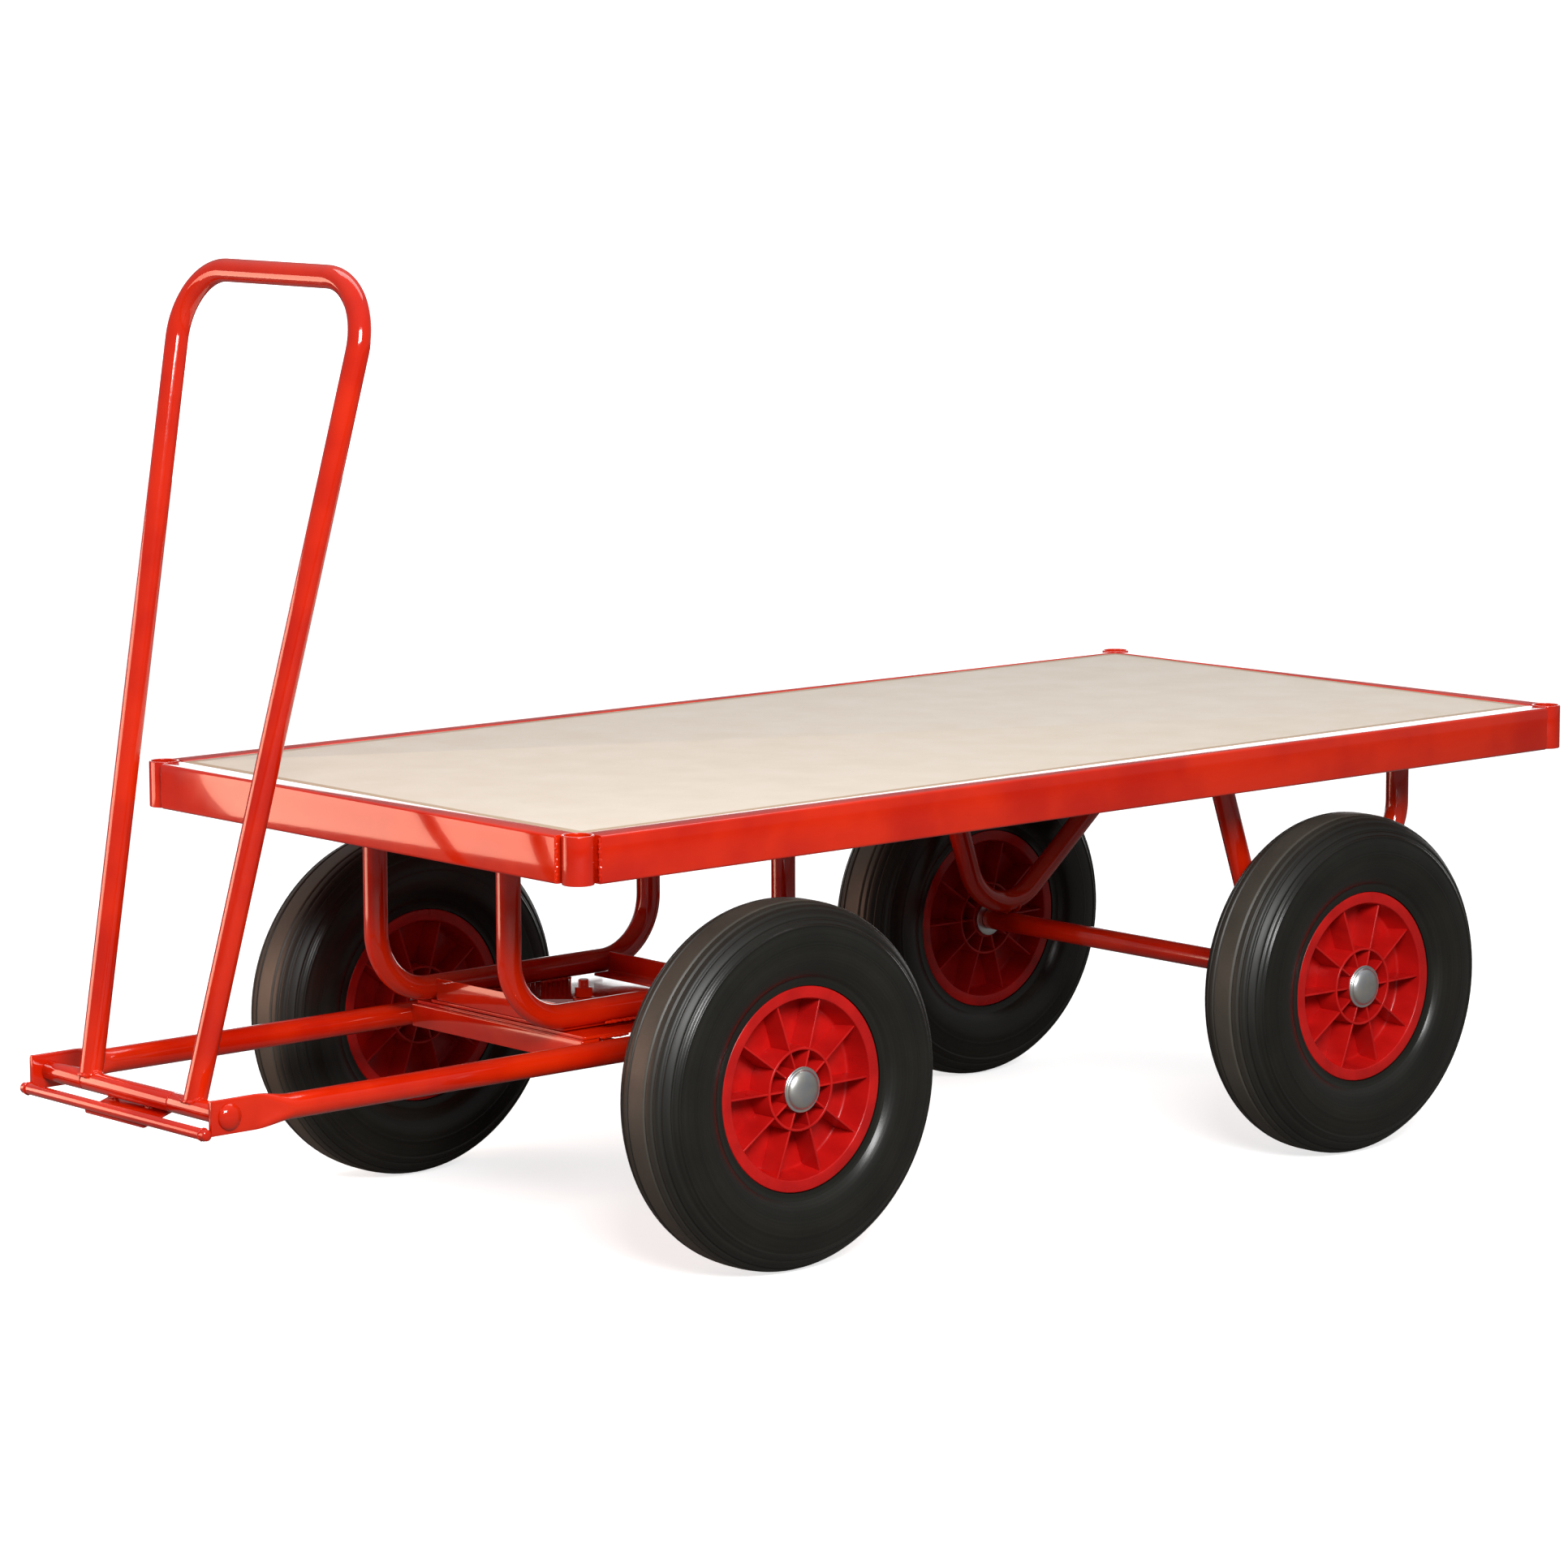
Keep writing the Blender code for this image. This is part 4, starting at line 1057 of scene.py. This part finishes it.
@dataclass
class Drawbar:
    """The two drawbar tubes with their pressed ears, the front axle, the stop rod and the hinge bolt."""

    tube_radius: float = 13.45 * MM
    ear_length: float = 0.055
    ear_fade: float = 0.045
    ear_height: float = 0.037
    ear_thickness: float = 5.5 * MM
    ear_squareness: float = 0.35
    ear_edge: float = 0.8 * MM
    crease: float = 1.1 * MM
    bolt_radius: float = 6.0 * MM
    nut_gap: float = 0.2 * MM
    cup_height: float = 7.5 * MM
    rod_dome: float = 0.45
    rod_weld: float = 1.33 * MM
    rod_weld_inset: float = 1.14 * MM
    weld: float = 1.9 * MM
    weld_off: float = 6.5 * MM
    plate_weld_length: float = 0.040
    plate_weld_inset: float = 0.020

    def build(self, shop: Shop) -> None:
        """Builds every piece of the drawbar."""
        for side in SIDES:
            node = f"drawbar_tube_{side}"
            shop.stand_in(node, self.pressed_tube(Box(node)), crease=50)
        axle = Box("front_axle")
        reach, end = axle.size[0] / 2, axle.size[1] / 2
        chamfer = [(reach - MM, end), (reach, end - MM)]
        shop.stand_in("front_axle", turned(mirrored(chamfer), axle.centre, ALONG_Y))
        self.build_stop_rod(shop)
        self.build_hinge_bolt(shop)
        self.build_welds(shop)

    def pressed_tube(self, box: Box) -> Surface:
        """A tube whose front end is pressed flat.

        Each ring is a superellipse: its half width and half height, times the cosine and sine raised to a
        power. All three ease from the flat ear's to the round tube's. Where they ease, the wall dips by a
        crease that is deepest halfway up.

        Args:
            box: The tube's box.

        Returns:
            The surface.
        """
        start, tail = box.low[0], box.high[0]
        flat_end = start + self.ear_length
        fade = np.linspace(0, 1, 28)
        x = np.concatenate([
            np.linspace(start, flat_end, 10)[:-1], flat_end + self.ear_fade * fade,
            np.linspace(flat_end + self.ear_fade, tail, 12)[1:],
        ])
        t = np.clip((x - flat_end) / self.ear_fade, 0, 1)[:, None]
        roundness = t * t * (3 - 2 * t)
        flat = self.ear_thickness / 2
        half_y = flat + (self.tube_radius - flat) * roundness
        half_z = self.ear_height / 2 + (self.tube_radius - self.ear_height / 2) * roundness
        power = self.ear_squareness + (1 - self.ear_squareness) * roundness
        angle = (np.arange(56) + 0.5) * (2 * np.pi / 56)
        across, up = np.cos(angle), np.sin(angle)
        dip = self.crease * np.sin(np.pi * t) * np.exp(-((up / 0.35) ** 2))
        y = (half_y - dip) * np.sign(across) * np.abs(across) ** power
        z = half_z * np.sign(up) * np.abs(up) ** power
        along = np.broadcast_to(x[:, None], y.shape)
        rings = np.stack([along, box.centre[1] + y, box.centre[2] + z], axis=-1)
        return skin(soften(rings, self.ear_edge))

    def build_stop_rod(self, shop: Shop) -> None:
        """Builds the rod across the ears, with a dome of weld on each of its ends."""
        box = Box("stop_rod")
        radius, end = box.size[0] / 2, box.size[1] / 2
        dome = np.radians(np.linspace(8, 90, 8))
        cap = np.stack([radius * np.sin(dome), end + self.rod_dome * radius * np.cos(dome)], axis=-1)
        shop.stand_in("stop_rod", turned(mirrored(cap), box.centre, ALONG_Y))
        runs = []
        for out in SIDES.values():
            inside = box.centre + ALONG_Y * out * (end - self.ear_thickness - self.rod_weld_inset)
            runs.append(ring_bead(inside, ALONG_Y, radius, self.rod_weld, out))
        shop.welds("stop_rod_welds", runs, "stop_rod")

    def build_hinge_bolt(self, shop: Shop) -> None:
        """Builds the cup-headed bolt, its head on the left, and the nut on the right."""
        bolt, nut = Box("pivot_bolt"), Box("pivot_nut")
        reach = bolt.size[0] / 2
        place = np.array([bolt.centre[0], 0.0, bolt.centre[2]])
        seat = place + ALONG_Y * (bolt.low[1] + self.cup_height)
        turn = np.radians(np.linspace(4, 88, 12))
        rise = np.stack([reach * np.sin(turn), self.cup_height * np.cos(turn)], axis=-1)
        cup = turned(np.concatenate([rise, [(reach, 0.0), (self.bolt_radius, 0.0)]]), seat, -ALONG_Y)
        inside = seat + ALONG_Y * 0.1 * MM
        shank = thread(self.bolt_radius, bolt.high[1] - inside[1], inside, ALONG_Y)
        shop.stand_in("pivot_bolt", joined([cup, shank]))
        bore, corner = self.bolt_radius + self.nut_gap, max(nut.size[0], nut.size[2]) / 2
        foot = place + ALONG_Y * nut.low[1]
        shop.stand_in("pivot_nut", hexagon(corner, bore, nut.size[1], foot, ALONG_Y))

    def build_welds(self, shop: Shop) -> None:
        """Builds the welds where the tubes cross the axle, and along the lower plate's ends."""
        axle = Box("front_axle").centre
        plate = Box("turntable_lower_plate")
        for side, out in SIDES.items():
            node = f"drawbar_tube_{side}"
            box = Box(node)
            place = np.array([axle[0], box.centre[1], box.centre[2]])
            runs = crossing_beads(place, ALONG_X, ALONG_Y, self.tube_radius, self.weld_off, self.weld)
            y = (plate.low if out < 0 else plate.high)[1] + out * self.weld
            first, length = plate.low[0] + self.plate_weld_inset, self.plate_weld_length
            for x in np.linspace(first, plate.high[0] - self.plate_weld_inset - length, 3):
                runs.append(bead([(x, y, plate.low[2]), (x + length, y, plate.low[2])], self.weld, phase=x))
            shop.welds(f"{node}_welds", runs, node)


@dataclass
class Handle:
    """The hoop handle on its three sleeves, and the plate that stops it against the rod."""

    radius: float = 12.5 * MM
    length: float = 0.8625
    half_foot: float = 0.0931
    splay: float = 0.0825
    bend: float = 0.070
    lean: float = math.radians(12.75)
    shift: float = -0.009
    foot_bite: float = 5.0 * MM
    sleeve_bore: float = 6.35 * MM
    sleeve_edge: float = 0.9 * MM
    plate_slope: float = math.radians(18.5)
    plate_size: tuple[float, float, float] = (0.040, 0.108, 0.003)
    plate_front: float = -3.0 * MM
    plate_corner: float = 2.5 * MM
    plate_edge: float = 0.5 * MM
    rod_gap: float = 0.4 * MM
    lug_places: tuple[float, float] = (-0.019, 0.047)
    lug_reach: float = 30.25 * MM
    lug_half: tuple[float, float] = (2.75 * MM, 4.0 * MM)
    lug_rise: float = 0.8 * MM
    lug_corner: float = 1.2 * MM
    lug_weld_half: float = 8.0 * MM
    lug_weld_rows: tuple[tuple[float, float], ...] = ((0.4 * MM, 0.36), (2.2 * MM, 1.98))  # rise and phase
    weld: float = 2.1 * MM

    def build(self, shop: Shop) -> None:
        """Builds the hoop, the sleeves, the stop plate and their welds."""
        sleeve = Box("pivot_sleeve_middle")
        pivot = np.array([sleeve.centre[0], 0.0, sleeve.centre[2]])
        way = np.array([math.sin(self.lean), 0.0, math.cos(self.lean)])
        stops = ((-1, self.foot_bite), (-1, self.length), (1, self.length), (1, self.foot_bite))
        corners = [self.leg_point(pivot, way, side, along) for side, along in stops]
        path = rounded(corners, self.bend, 20, closed=False)
        shop.stand_in("handle_hoop", tube(path, self.radius, np.cross(way, ALONG_Y), 40))
        for name in ("left", "middle", "right"):
            self.build_sleeve(shop, f"pivot_sleeve_{name}")
        runs = [
            self.foot_bead(self.leg_point(pivot, way, side, 0.0), way, sleeve.size[0] / 2, side)
            for side in (-1, 1)
        ]
        shop.welds("handle_foot_welds", runs, "handle_hoop")
        self.build_stop_plate(shop)

    def leg_point(self, pivot: Array, way: Array, side: int, along: float) -> Array:
        """The point of a leg's centre line at a distance up from the hinge: the legs part evenly."""
        return pivot + way * along + ALONG_Y * (self.shift + side * (self.half_foot + self.splay * along))

    def build_sleeve(self, shop: Shop, node: str) -> None:
        """Builds one sleeve: a tube on the hinge bolt with rounded rims."""
        box = Box(node)
        outer, half = box.size[:2] / 2
        sleeve = washer(self.sleeve_bore, outer, -half, half, self.sleeve_edge, box.centre, ALONG_Y)
        shop.stand_in(node, sleeve)

    def foot_bead(self, foot: Array, way: Array, sleeve_radius: float, side: int) -> Surface:
        """The weld round a leg's foot.

        It follows the leg's circle, at the height where the sleeve's round surface meets it: the root of
        the sleeve's radius squared less the offset squared, and never lower than the leg reaches.

        Args:
            foot: The place on the hinge's axis under the leg.
            way: The direction up the leg.
            sleeve_radius: The sleeve's radius.
            side: -1 for the left leg and 1 for the right.

        Returns:
            The surface.
        """
        across = np.cross(way, ALONG_Y)
        spin = circle(self.radius, 64)
        off = spin[:, 1]
        height = np.sqrt(np.maximum(sleeve_radius**2 - off**2, self.foot_bite**2))
        path = foot + spin[:, :1] * ALONG_Y + off[:, None] * across + height[:, None] * way
        return bead(path, self.weld, way, True, side)

    def build_stop_plate(self, shop: Shop) -> None:
        """Builds the sloping plate behind the stop rod, its two lugs and their welds."""
        rod = Box("stop_rod")
        centre = np.array([rod.centre[0], 0.0, rod.centre[2]])
        ahead = np.array([math.cos(self.plate_slope), 0, math.sin(self.plate_slope)])
        square = np.array([-math.sin(self.plate_slope), 0, math.cos(self.plate_slope)])
        top = -(rod.size[0] / 2 + self.rod_gap)
        length, width, thick = self.plate_size

        def placed(surface: Surface) -> Surface:
            """Moves a shape from the plate's own axes to its place."""
            points = surface.points
            world = centre + points[:, :1] * ahead + points[:, 1:2] * ALONG_Y + points[:, 2:] * square
            return Surface(world, surface.quads, surface.ends)

        low = np.array([self.plate_front, -width / 2, top - thick])
        high = np.array([self.plate_front + length, width / 2, top])
        parts = [placed(bar(low, high, 2, self.plate_corner, self.plate_edge))]
        runs = []
        half = np.array([*self.lug_half, 0.0])
        for y in self.lug_places:
            low = np.array([self.lug_reach, y, top - thick / 2]) - half
            high = np.array([self.lug_reach, y, top + self.lug_rise]) + half
            parts.append(placed(bar(low, high, 2, self.lug_corner)))
            for rise, phase in self.lug_weld_rows:
                ends = (y - self.lug_weld_half, y + self.lug_weld_half)
                line = [(self.lug_reach + rise, spot, top + rise) for spot in ends]
                runs.append(placed(bead(line, self.weld, phase=y + phase)))
        shop.stand_in("stop_plate", joined(parts))
        shop.welds("stop_plate_welds", runs, "stop_plate")


@dataclass
class Wheel:
    """One wheel: tyre, rim, bush, and the washer and cap that stay with the axle.

    Heights along the axle are from the tyre's middle plane, outboard positive.
    """

    end: str
    side: str
    hub_half: float = 36 * MM
    hub_radius: float = 24 * MM
    bush_radius: float = 14 * MM
    bush_bore: float = 10.35 * MM
    flange_radius: float = 111 * MM
    flange_inner: float = 98 * MM
    barrel_radius: float = 99.5 * MM
    well_radius: float = 93.5 * MM
    lip: float = 3 * MM
    seat_edge: float = 0.6 * MM
    bush_edge: float = 0.4 * MM
    web_half: float = 4 * MM
    rib_count: int = 10
    rib_half: float = 35 * MM
    rib_end_half: float = 32 * MM
    ring_half: float = 35.4 * MM
    rib_thickness: float = 3 * MM
    ring_radius: float = 44 * MM
    ring_edge: float = 0.9 * MM
    tyre_half: float = 49 * MM
    sidewall_radius: float = 151 * MM
    tyre_skin: float = 9 * MM
    tyre_power: float = 0.62
    tyre_step: float = 0.62 * MM
    hollow_power: float = 0.7
    groove_places: tuple[float, ...] = (13.7 * MM, 23.6 * MM, 32.0 * MM)
    groove_depth: float = 2.2 * MM
    groove_half: float = 1.15 * MM
    ridge_radius: float = 177 * MM
    ridge_height: float = 1.5 * MM
    ridge_half: float = 1.3 * MM
    hollow_radius: float = 183.5 * MM
    hollow_depth: float = 1.3 * MM
    mould_line_radius: float = 157 * MM
    mould_line_height: float = 0.35 * MM
    mould_line_half: float = 0.8 * MM
    dome_radius: float = 21.5 * MM
    dome_height: float = 8.5 * MM
    dome_base: float = 37.9 * MM
    cap_thickness: float = 1.5 * MM
    cap_edge: float = 0.5 * MM
    cap_hollow: float = 0.8 * MM

    def __post_init__(self) -> None:
        """Finds the wheel's place and which way is outboard."""
        self.name = f"{self.end}_{self.side}"
        box = Box(f"{self.name}_tyre")
        self.centre = box.centre
        self.radius = box.size[2] / 2
        self.outboard = ALONG_Y * SIDES[self.side]

    def build(self, shop: Shop) -> None:
        """Builds the five pieces."""
        shop.stand_in(f"{self.name}_tyre", self.tyre(), Slot.RUBBER, crease=60)
        shop.stand_in(f"{self.name}_rim", self.rim(), Slot.PLASTIC)
        bore, half = self.bush_bore, self.hub_half
        bush = washer(bore, self.bush_radius, -half, half, self.bush_edge, self.centre, self.outboard)
        shop.stand_in(f"{self.name}_bush", bush, Slot.NYLON)
        thin = Box(f"{self.name}_washer")
        outer, face = thin.size[:2] / 2
        seat = washer(bore, outer, -face, face, self.seat_edge, thin.centre, self.outboard)
        shop.stand_in(f"{self.name}_washer", seat, Slot.ZINC)
        shop.stand_in(f"{self.name}_hub_cap", self.hub_cap(), Slot.ZINC)

    def tyre_outline(self) -> Array:
        """The outside of half of the tyre, from its bead to its crown.

        The half width is the tyre's, times the cosine to the power 0.62. The radius is the sidewall's
        widest, plus a rise times the sine. Round grooves are cut where the half width is a groove's
        place, and a ridge, a hollow and a mould line run round where the radius is theirs.

        Returns:
            Points of radius and height at even distances.
        """
        rise = self.radius - self.sidewall_radius
        fall = self.sidewall_radius - self.flange_radius
        angle = np.radians(np.linspace(-50, 90, 4000))
        height = self.tyre_half * np.maximum(np.cos(angle), 0) ** self.tyre_power
        radius = self.sidewall_radius + np.where(angle > 0, rise, fall) * np.sin(angle)
        reach, height = even_steps(np.stack([radius, height], axis=-1), self.tyre_step).T

        def swell(places: Array, middle: float, half: float, size: float) -> Array:
            """A smooth bump of this size where the places near its middle."""
            return size * np.exp(-(((places - middle) / half) ** 2))

        half, depth = self.groove_half, self.groove_depth
        grooves = sum(swell(height, place, half, depth) for place in self.groove_places)
        ridge = swell(reach, self.ridge_radius, self.ridge_half, self.ridge_height)
        hollow = swell(reach, self.hollow_radius, self.ridge_half, self.hollow_depth)
        line = swell(reach, self.mould_line_radius, self.mould_line_half, self.mould_line_height)
        return np.stack([reach - grooves, height + ridge + line - hollow], axis=-1)

    def tyre(self) -> Surface:
        """The tyre: its outside, the beads on the rim and the hollow under the tread, turned together."""
        outside = self.tyre_outline()
        seat = self.hub_half - self.lip - 0.4 * MM
        foot, shoulder = self.barrel_radius + 1.2 * MM, self.flange_radius + 0.8 * MM
        inside = seat - 1.5 * self.tyre_skin
        bead_end = [(foot, inside), (foot, seat), (shoulder, seat), (shoulder, seat + 4 * MM)]
        angle = np.radians(np.linspace(88, -40, 24))
        rise = self.radius - self.sidewall_radius - 1.3 * self.tyre_skin
        hollow_radius = self.sidewall_radius + rise * np.sin(angle)
        hollow_height = (self.tyre_half - self.tyre_skin) * np.cos(angle) ** self.hollow_power
        hollow = np.stack([hollow_radius, hollow_height], axis=-1)
        half = np.concatenate([hollow, bead_end, outside])
        profile = np.delete(mirrored(half), len(half) - 1, axis=0)
        steps = 120
        surface = turned(profile, self.centre, self.outboard, steps, endless=True)
        surface.numbers = {
            "across": np.repeat(np.abs(profile[:, 1]), steps), "reach": np.repeat(profile[:, 0], steps)
        }
        return surface

    def rim(self) -> Surface:
        """The rim: a turned hub, web, barrel and flanges, a ring round the hub, and the ribs."""
        corners = [
            (self.bush_radius + 0.4 * MM, self.hub_half - 0.8 * MM, 0.4 * MM),
            (self.hub_radius, self.hub_half - 0.8 * MM, 1.2 * MM),
            (self.hub_radius, self.web_half, 2.5 * MM),
            (self.well_radius, self.web_half, 4.0 * MM),
            (self.flange_inner, self.hub_half, 1.6 * MM),
            (self.flange_radius, self.hub_half, 1.3 * MM),
            (self.flange_radius, self.hub_half - self.lip, 1.3 * MM),
            (self.barrel_radius, self.hub_half - self.lip, 1.0 * MM),
        ]
        table = mirrored(corners)
        outline = rounded(table[:, :2], table[:, 2])
        shell = turned(outline, self.centre, self.outboard, 144, endless=True)
        inner, outer = self.ring_radius - self.rib_thickness / 2, self.ring_radius + self.rib_thickness / 2
        half = self.ring_half
        collar = washer(inner, outer, -half, half, self.ring_edge, self.centre, self.outboard)
        return joined([shell, collar, *self.ribs()])

    def ribs(self) -> list[Surface]:
        """Thin ribs from the hub to the barrel, on both sides of the web and thinner at their tops."""
        first, second = square_axes(self.outboard)
        half = self.rib_thickness / 2
        low = np.array([self.hub_radius - 2 * MM, -half, -self.rib_half])
        high = np.array([self.barrel_radius - 1.2 * MM, half, self.rib_half])
        local = bar_rings(low, high, 0, 0.8 * MM, 0.3 * MM)
        local[..., 1] *= 1.1 - 0.3 * np.abs(local[..., 2]) / self.rib_half
        outward = (local[..., 0] - low[0]) / (high[0] - low[0])
        local[..., 2] *= 1 - outward * (1 - self.rib_end_half / self.rib_half)
        made = []
        for turn in (np.arange(self.rib_count) + 0.5) * (2 * np.pi / self.rib_count):
            out = first * np.cos(turn) + second * np.sin(turn)
            round_way = np.cross(self.outboard, out)
            spots = local[..., :1] * out + local[..., 1:2] * round_way + local[..., 2:] * self.outboard
            made.append(skin(self.centre + spots))
        return made

    def hub_cap(self) -> Surface:
        """The cap: a low dome that meets a thin flange in a small hollow, closed at the back."""
        flange = Box(f"{self.name}_hub_cap").size[0] / 2
        radius, top, edge = self.dome_radius, self.dome_base, self.cap_edge
        base = top - self.cap_thickness
        turn = np.radians(np.linspace(3, 84, 22))
        dome = np.stack([radius * np.sin(turn), top + self.dome_height * np.cos(turn)], axis=-1)
        rim = [(radius + self.cap_hollow, top), (flange - edge, top), (flange, top - edge), (flange, base)]
        profile = np.concatenate([dome, rim, [(MM, base)]])
        return turned(profile, self.centre, self.outboard, 72)


@dataclass(frozen=True)
class Lamp:
    """A rectangular soft lamp that faces the place it is aimed at."""

    name: str
    place: tuple[float, float, float]
    aim: tuple[float, float, float]
    width: float
    height: float
    watts: float
    tint: tuple[float, float, float] = (1.0, 1.0, 1.0)

    def build(self) -> None:
        """Builds the lamp."""
        light = bpy.data.lights.new(self.name, "AREA")
        light.shape, light.size, light.size_y = "RECTANGLE", self.width, self.height
        light.energy, light.color = self.watts, self.tint
        lamp = bpy.data.objects.new(self.name, light)
        lamp.location = self.place
        lamp.rotation_euler = (Vector(self.aim) - Vector(self.place)).to_track_quat("-Z", "Y").to_euler()
        bpy.context.scene.collection.objects.link(lamp)


@dataclass
class Studio:
    """A pale floor, soft lights and the camera."""

    camera_place: tuple[float, float, float] = (-4.10285, -4.67704, 1.37443)
    camera_yaw: float = math.radians(48.6597)
    camera_pitch: float = math.radians(8.3641)
    camera_roll: float = math.radians(-0.1668)
    lens: float = 127.065
    sensor: float = 36.0
    floor_radius: float = 9.0
    floor_thickness: float = 0.02
    floor_pale: Colour = colour(0.93, 0.93, 0.93)
    floor_paler: Colour = colour(0.95, 0.95, 0.95)
    floor_bounce: Colour = colour(0.20, 0.19, 0.18)
    floor_lift: float = 0.72
    sky_low: float = 0.20
    sky_high: float = 2.1
    sky_seen: float = 1.1
    backdrop_top: float = 0.150
    backdrop_way: tuple[float, float, float] = (0.66, 0.75, 0.0)
    lamps: tuple[Lamp, ...] = (
        Lamp("overhead_softbox", (0.4, 0.3, 3.4), (0.1, 0.0, 0.4), 3.2, 1.0, 28.0),
        Lamp("front_softbox", (-2.3, -3.9, 2.7), (0.0, 0.0, 0.4), 2.0, 1.2, 225.0),
        Lamp("left_strip", (-1.9, 1.45, 0.47), (-0.5, 0.0, 0.4), 1.2, 1.0, 20.0, (1.0, 0.56, 0.40)),
    )

    def build(self) -> None:
        """Builds the whole studio."""
        self.build_floor()
        self.build_world()
        for lamp in self.lamps:
            lamp.build()
        self.build_camera()

    def build_floor(self) -> None:
        """Builds the floor: a pale disc with a faint cloud in its colour, which throws back little light."""
        profile = [(self.floor_radius, 0.0), (self.floor_radius, -self.floor_thickness)]
        surface = turned(profile, np.zeros(3), ALONG_Z, 96)
        floor = bpy.data.objects.new("studio_floor", surface.mesh("studio_floor", math.radians(CREASE)))
        material = bpy.data.materials.new("pale_floor")
        material.use_nodes = True
        graph = Graph(material.node_tree)
        shader = material.node_tree.nodes["Principled BSDF"]
        seen = graph.seen()
        cloud = graph.noise(graph.place(), 1.5)
        pale = graph.mix(cloud, self.floor_pale, self.floor_paler)
        lift = colour(self.floor_lift, self.floor_lift, self.floor_lift)
        graph.feed(shader.inputs["Base Color"], graph.mix(seen, self.floor_bounce, pale))
        graph.feed(shader.inputs["Emission Color"], graph.mix(seen, colour(0.0, 0.0, 0.0), lift))
        shader.inputs["Emission Strength"].default_value = 1.0
        shader.inputs["Roughness"].default_value = 0.9
        shader.inputs["Specular IOR Level"].default_value = 0.1
        floor.data.materials.append(material)
        bpy.context.scene.collection.objects.link(floor)

    def build_world(self) -> None:
        """Builds the sky: a bright low backdrop behind, fading light above, and dimmer elsewhere."""
        world = bpy.data.worlds.new("studio_sky")
        world.use_nodes = True
        bpy.context.scene.world = world
        graph = Graph(world.node_tree)
        way = graph.node("ShaderNodeTexCoord", output="Generated")
        facing = {0: way, 1: self.backdrop_way}
        behind = graph.node("ShaderNodeVectorMath", {"operation": "DOT_PRODUCT"}, facing, "Value")
        above = graph.coordinate(way, 2)
        backdrop = behind.step(0.70, 0.95) * (1 - above.step(self.backdrop_top, self.backdrop_top + 0.012))
        glow = graph.maths("MAXIMUM", backdrop, above.step(0.2, 0.9) * 0.10)
        light = self.sky_low + glow * (self.sky_high - self.sky_low)
        strength = graph.maths("MAXIMUM", light, graph.seen() * self.sky_seen)
        graph.feed(world.node_tree.nodes["Background"].inputs["Strength"], strength)
        world.node_tree.nodes["Background"].inputs["Color"].default_value = colour(1.0, 1.0, 1.0)

    def build_camera(self) -> None:
        """Builds the camera and makes it the scene's."""
        data = bpy.data.cameras.new("studio_camera")
        data.lens, data.sensor_width = self.lens, self.sensor
        data.clip_end = 200.0
        camera = bpy.data.objects.new("studio_camera", data)
        heading = Matrix.Rotation(self.camera_yaw - math.pi / 2, 4, "Z")
        tilt = Matrix.Rotation(math.pi / 2 - self.camera_pitch, 4, "X")
        roll = Matrix.Rotation(self.camera_roll, 4, "Z")
        camera.matrix_world = Matrix.Translation(self.camera_place) @ heading @ tilt @ roll
        bpy.context.scene.collection.objects.link(camera)
        bpy.context.scene.camera = camera
        bpy.context.scene.view_settings.view_transform = "Standard"


def main() -> None:
    """Builds the studio and every sub-assembly, and reports each piece."""
    logging.basicConfig(level=logging.INFO, format="%(message)s")
    Studio().build()
    board = Box("deck_board")
    finishes = {
        Slot.PAINT: RedPaint(),
        Slot.PLASTIC: RedPlastic(),
        Slot.RUBBER: TyreRubber(),
        Slot.BOARD: DeckBoard(centre=tuple(board.centre), half_size=tuple(board.size / 2)),
        Slot.ZINC: BrightZinc(),
        Slot.NYLON: BushNylon(),
    }
    shop = Shop(finishes)
    wheels = [Wheel(end, side) for end, side in product(ENDS, SIDES)]
    for assembly in (DeckFrame(), FrontHoops(), RearBrackets(), Turntable(), Drawbar(), Handle(), *wheels):
        first = len(shop.made)
        assembly.build(shop)
        for piece in shop.made[first:]:
            log.info("%s: %s, %d faces", type(assembly).__name__, piece.name, len(piece.data.polygons))


if __name__ == "__main__":
    main()
